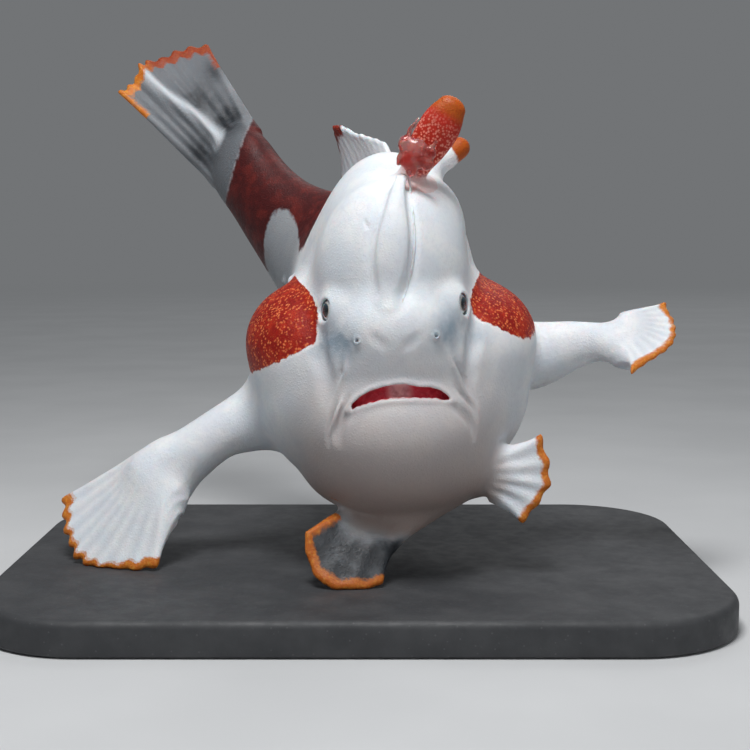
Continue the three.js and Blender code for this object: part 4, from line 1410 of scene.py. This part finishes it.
def buildEye(side, name):
    centre, gaze = eyePlace(side), gazeOf(side)
    across = unit(np.cross(gaze, up))
    rise = np.cross(across, gaze)
    around = eyeLook["around"]
    polar = np.concatenate([np.linspace(*eyeLook["front"]), np.linspace(*eyeLook["behind"])])
    turn = np.linspace(0, 2 * np.pi, around, endpoint=False)
    reach = eyeShape["radius"] + eyeLook["cornea"] * (smooth(*eyeLook["corneaEdge"], polar) - 1)
    p, t = np.meshgrid(polar, turn, indexing="ij")
    ways = (gaze, np.cos(p)), (across, np.sin(p) * np.cos(t)), (rise, np.sin(p) * np.sin(t))
    points = centre + sum(way * (reach[:, None] * share)[..., None] for way, share in ways)
    ends = np.array([centre + gaze * reach[0], centre - gaze * reach[-1]])
    first = list(range(around))
    last = [n + p.size - around for n in first]
    faces = ringQuads(len(polar), around)[:, ::-1].tolist()
    faces += [(p.size, b, a) for a, b in zip(first, first[1:] + first[:1])]
    faces += [(p.size + 1, a, b) for a, b in zip(last, last[1:] + last[:1])]
    eye = objectFrom(name, np.vstack([points.reshape(-1, 3), ends]), faces)
    addMark(eye, "fromPupil", np.append(p * eyeShape["radius"], [0, np.pi * eyeShape["radius"]]))
    addMark(eye, "eyeX", np.append(np.cos(t), [0, 0]))
    addMark(eye, "eyeY", np.append(np.sin(t), [0, 0]))
    eye.data.materials.append(eyeMaterial())
    return eye


def eyeMaterial():
    if "frogfish_eye" in bpy.data.materials:
        return bpy.data.materials["frogfish_eye"]
    look, pupilEdge = eyeLook, eyeLook["pupil"]
    material, tree, shader = nodeTree("frogfish_eye")
    out = marked(tree, "fromPupil")
    spokes = addNode(tree, "CombineXYZ", {0: marked(tree, "eyeX"), 1: marked(tree, "eyeY"), 2: out}).outputs[0]
    spokes = addNode(tree, "Mapping", {"Vector": spokes, "Scale": (1, 1, 0.12)}).outputs["Vector"]
    streaks = addNode(tree, "TexNoise", {"Vector": spokes, "Scale": 9.0, "Detail": 4.0}).outputs["Fac"]
    iris = tint(tree, ramp(tree, streaks, 0.4, 0.7, 0, 0.8), look["iris"], look["streak"])
    iris = tint(tree, ramp(tree, out, pupilEdge + 0.12, pupilEdge + 0.02), iris, look["ring"])
    wavy = maths(tree, "ADD", out, times(tree, maths(tree, "SUBTRACT", streaks, 0.5), 0.08))
    # painted reflection, lighter towards the top of the pupil
    pupilReflection = times(tree, ramp(tree, marked(tree, "eyeY"), -0.2, 1.0), ramp(tree, out, 0.1, 0.7))
    pupil = tint(tree, pupilReflection, look["black"], look["pupilReflection"])
    setInputs(tree, shader, {
        "Base Color": tint(tree, ramp(tree, wavy, pupilEdge + 0.03, pupilEdge - 0.03), iris, pupil),
        "Roughness": look["roughness"],
        "Coat Weight": 1.0,
        "Coat Roughness": look["coatRoughness"],
        "IOR": look["ior"],
        "Normal": bump(tree, streaks, look["grain"]),
    })
    return material


print("eyes")
for side, node in ((-1, "eye_right"), (1, "eye_left")):
    eye = buildEye(side, "globe_" + node)
    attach(eye, "root")
    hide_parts(node)

# Fishing rod in the groove beside the ridge, and the lure on its end
rodShape = {
    # across and up on the level head
    "places": [
        (0.8, 22.8), (1.15, 24.0), (1.7, 25.3), (2.1, 26.6),
        (2.36, 28.0), (2.5, 29.4), (2.5, 31.2), (2.45, 33.0),
    ],
    "end": [(1.35, 5.0, 34.2), (1.4, 4.6, 34.9)],
    "thick": (0.13, 0.09),
    "sink": 0.22,
    "white": (0.80, 0.83, 0.86),
    "pink": (0.70, 0.62, 0.62),
    "roughness": 0.4,
    "soft": 0.4,
    "softDepth": 0.6,
    "grain": 0.03,
}
lureShape = {
    "blobs": [
        # centre, half sizes
        ((1.1, 4.45, 37.1), (0.72, 0.6, 0.85)),
        ((1.95, 4.3, 36.75), (0.9, 0.65, 0.85)),
        ((1.3, 4.4, 35.8), (0.82, 0.6, 0.8)),
        ((1.5, 4.5, 35.0), (0.5, 0.45, 0.6)),
        ((2.65, 4.5, 35.5), (0.75, 0.55, 0.6)),
        ((3.0, 4.45, 36.4), (0.6, 0.5, 0.65)),
        ((2.2, 4.3, 35.7), (0.6, 0.5, 0.55)),
    ],
    "threads": [
        [(1.3, 4.3, 37.6), (1.35, 4.2, 38.3), (1.75, 4.15, 38.75), (2.1, 4.1, 39.2)],
        [(0.7, 4.3, 36.4), (0.42, 4.3, 36.0), (0.4, 4.25, 35.5)],
        [(3.3, 4.2, 36.9), (3.55, 4.1, 37.3)],
    ],
    "blobBlend": 0.22,
    "threadThick": (0.22, 0.1),
    "threadBlend": 0.2,
    "threadSteps": 12,
    "tipBead": 0.15,
    "grid": {"low": (-0.4, 2.8, 33.6), "high": (4.4, 6.0, 40.4), "step": 0.06},
}
lureLook = {
    "pink": (0.92, 0.52, 0.48),
    "clot": (0.62, 0.08, 0.06),
    "low": (0.60, 0.06, 0.04),
    "lowHeights": (36.4, 34.9),
    "threadTip": (0.92, 0.85, 0.80),
    "tipHeights": (38.5, 39.2),
    "roughness": 0.08,
    "clear": 0.8,
    "ior": 1.28,
    "soft": 0.4,
    "softDepth": 0.8,
    "coat": 0.6,
    "coatRoughness": 0.05,
    "lumps": 0.12,
}


def buildRod():
    places = np.array(rodShape["places"])
    route = np.vstack([onFace(places[:, 0], places[:, 1], rodShape["sink"]), rodShape["end"]])
    thick = mix(*rodShape["thick"], np.linspace(0, 1, len(route)))
    points, quads = limbMesh(np.column_stack([route, thick, thick]), (1, 0, 0), steps=90, sides=16)
    return objectFrom("rod", points, [tuple(dict.fromkeys(quad)) for quad in quads.tolist()])


def buildLure():
    shape, steps = lureShape, lureShape["threadSteps"]
    field = newField(shape["grid"])
    addOvals(field, [oval(centre, half, np.eye(3), shape["blobBlend"]) for centre, half in shape["blobs"]], 1.0)
    for thread in shape["threads"]:
        line = route(thread, steps)
        addStrand(field, line, np.linspace(*shape["threadThick"], steps), shape["threadBlend"])
        addStrand(field, line[-2:], shape["tipBead"], 0.1)
    points, quads = largestPiece(*meshOf(field))
    points = relax(points, quads)
    lure = objectFrom("lure_frill", points, quads)
    addMark(lure, "height", points[:, 2])
    return lure


def rodMaterial():
    look = rodShape
    material, tree, shader = nodeTree("rod_skin")
    setInputs(tree, shader, {
        "Base Color": tint(tree, ramp(tree, noise(tree, 1.5, 3), 0.35, 0.7), look["white"], look["pink"]),
        "Roughness": look["roughness"],
        "Subsurface Weight": look["soft"],
        "Subsurface Scale": look["softDepth"] * mm,
        "Normal": bump(tree, noise(tree, 4.0, 3), look["grain"]),
    })
    return material


def lureMaterial():
    look = lureLook
    material, tree, shader = nodeTree("lure_jelly")
    height = marked(tree, "height")
    colour = tint(tree, ramp(tree, noise(tree, 0.9, 3), 0.42, 0.6), look["pink"], look["clot"])
    colour = tint(tree, times(tree, ramp(tree, height, *look["lowHeights"]), 0.7), colour, look["low"])
    colour = tint(tree, ramp(tree, height, *look["tipHeights"]), colour, look["threadTip"])
    lumps = maths(tree, "ADD", noise(tree, 1.8, 3), times(tree, cells(tree, 2.6, "SMOOTH_F1"), 0.6))
    setInputs(tree, shader, {
        "Base Color": colour,
        "Roughness": look["roughness"],
        "Transmission Weight": look["clear"],
        "IOR": look["ior"],
        "Subsurface Weight": look["soft"],
        "Subsurface Scale": look["softDepth"] * mm,
        "Coat Weight": look["coat"],
        "Coat Roughness": look["coatRoughness"],
        "Normal": bump(tree, lumps, look["lumps"]),
    })
    return material


print("rod and lure")
rod = buildRod()
rod.data.materials.append(rodMaterial())
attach(rod, "root")
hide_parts("lure_rod")
lure = buildLure()
lure.data.materials.append(lureMaterial())
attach(lure, "root")
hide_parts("lure")

# Display base with rounded corners and a soft edge
baseShape = {"corner": 10.0, "edge": 0.7, "underEdge": 0.5, "cornerSteps": 40, "edgeSteps": 8}
baseLook = {
    "charcoal": (0.040, 0.042, 0.046),
    "cloud": (0.060, 0.062, 0.066),
    "fleck": (0.16, 0.16, 0.165),
    "roughness": (0.52, 0.66),
    "grain": 0.03,
}


def buildBase():
    low, high = (np.array(c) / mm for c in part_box("stand_base"))
    half, centre = (high - low)[:2] / 2, (high + low)[:2] / 2
    edge, corner = baseShape["edge"], baseShape["corner"]
    bend = np.linspace(0, np.pi / 2, baseShape["edgeSteps"] + 1)
    profile = [(edge * (1 - math.sin(a)), edge * (1 - math.cos(a))) for a in bend]
    rings = [(inset, low[2] + drop * baseShape["underEdge"]) for inset, drop in profile]
    rings += [(inset, high[2] - drop) for inset, drop in profile[::-1]]
    sweep = np.linspace(0, np.pi / 2, baseShape["cornerSteps"] + 1)
    points = []
    for inset, z in rings:
        for n, towards in enumerate([(1, -1), (1, 1), (-1, 1), (-1, -1)]):
            middle = centre + (half - corner) * towards
            for a in sweep + (n - 1) * np.pi / 2:
                x, y = middle + (corner - inset) * np.array([math.cos(a), math.sin(a)])
                points.append((x * mm, y * mm, z * mm))
    around = 4 * len(sweep)
    faces = ringQuads(len(rings), around).tolist()
    faces += [list(range(around))[::-1], list(range(len(points) - around, len(points)))]
    mesh = bpy.data.meshes.new("display_base")
    mesh.from_pydata(points, [], faces)
    for polygon in mesh.polygons:
        polygon.use_smooth = len(polygon.vertices) == 4
    return link("display_base", mesh)


def baseMaterial():
    look = baseLook
    material, tree, shader = nodeTree("charcoal_resin")
    colour = tint(tree, ramp(tree, noise(tree, 0.25, 5, 0.6), 0.35, 0.7), look["charcoal"], look["cloud"])
    flecks = ramp(tree, cells(tree, 1.6), 0.16, 0.08)
    setInputs(tree, shader, {
        "Base Color": tint(tree, times(tree, flecks, 0.35), colour, look["fleck"]),
        "Roughness": ramp(tree, noise(tree, 0.8, 4), 0.3, 0.7, *look["roughness"]),
        "Normal": bump(tree, noise(tree, 2.5, 5, 0.7), look["grain"]),
    })
    return material


print("display base")
base = buildBase()
base.data.materials.append(baseMaterial())
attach(base, "root")
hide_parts("stand_base")

# Floor, light and camera
view = {"elevation": 6.0, "distance": 110.0, "aim": (-1.57, 0.0, 18.0), "seen": 62.0, "sensor": 36, "near": 5}
studio = {
    "sky": (0.80, 0.83, 0.86),
    "skyPower": 0.21,
    "floorSize": 8,
    "floorFade": (0.12, 0.9),  # metres over which the floor fades into the tone behind it
    "floor": (0.62, 0.63, 0.64),
    "floorCloud": (0.66, 0.67, 0.68),
    "floorRoughness": 0.8,
    "lamps": [
        # name, place and aim in metres, size, watts
        ("key", (-0.012, -0.06, 0.165), (0.003, -0.008, 0.03), 0.055, 0.21),
        ("fill", (0.36, -0.52, 0.4), (0.0, -0.01, 0.02), 0.4, 0.42),
        ("back", (0.2, 0.55, 0.6), (0.0, 0.0, 0.03), 0.4, 0.75),
    ],
}


def aimed(name, data, place, aim):  # camera or lamp
    made = link(name, data)
    made.location = place
    made.rotation_mode = "QUATERNION"
    made.rotation_quaternion = (Vector(aim) - Vector(place)).to_track_quat("-Z", "Y")
    return made


def makeCamera():
    tilt, aim = math.radians(view["elevation"]), Vector(toWorld(view["aim"]))
    place = aim + Vector((0, -math.cos(tilt), math.sin(tilt))) * view["distance"] * mm
    camera = aimed("camera", bpy.data.cameras.new("camera"), place, aim)
    camera.data.sensor_width = view["sensor"]
    camera.data.lens = view["sensor"] * view["distance"] / view["seen"]
    camera.data.clip_start = view["near"] * mm
    bpy.context.scene.camera = camera


def makeFloor():
    bpy.ops.mesh.primitive_plane_add(size=studio["floorSize"], location=(0, 0, 0))
    floor = bpy.context.object
    floor.name = "floor"
    material, tree, shader = nodeTree("pale_floor")
    place = addNode(tree, "TexCoord").outputs["Object"]
    away = addNode(tree, "VectorMath", {0: place}, operation="LENGTH").outputs["Value"]
    faded = ramp(tree, away, *studio["floorFade"])
    cloudy = tint(tree, ramp(tree, noise(tree, 0.04, 3), 0.3, 0.7), studio["floor"], studio["floorCloud"])
    setInputs(tree, shader, {
        "Base Color": tint(tree, faded, cloudy, (0.0, 0.0, 0.0)),
        "Emission Color": (*studio["sky"], 1),
        "Emission Strength": times(tree, faded, studio["skyPower"]),
        "Specular IOR Level": 0.0,
        "Roughness": studio["floorRoughness"],
    })
    floor.data.materials.append(material)


def makeLights():
    world = bpy.data.worlds.new("studio")
    bpy.context.scene.world = world
    world.use_nodes = True
    sky = world.node_tree.nodes["Background"]
    setInputs(world.node_tree, sky, {"Color": (*studio["sky"], 1), "Strength": studio["skyPower"]})
    bpy.context.scene.view_settings.view_transform = "Standard"
    for name, place, aim, size, power in studio["lamps"]:
        lamp = bpy.data.lights.new(name, "AREA")
        lamp.size, lamp.energy = size, power
        aimed(name, lamp, place, aim)


print("camera, floor and light")
makeCamera()
makeFloor()
makeLights()
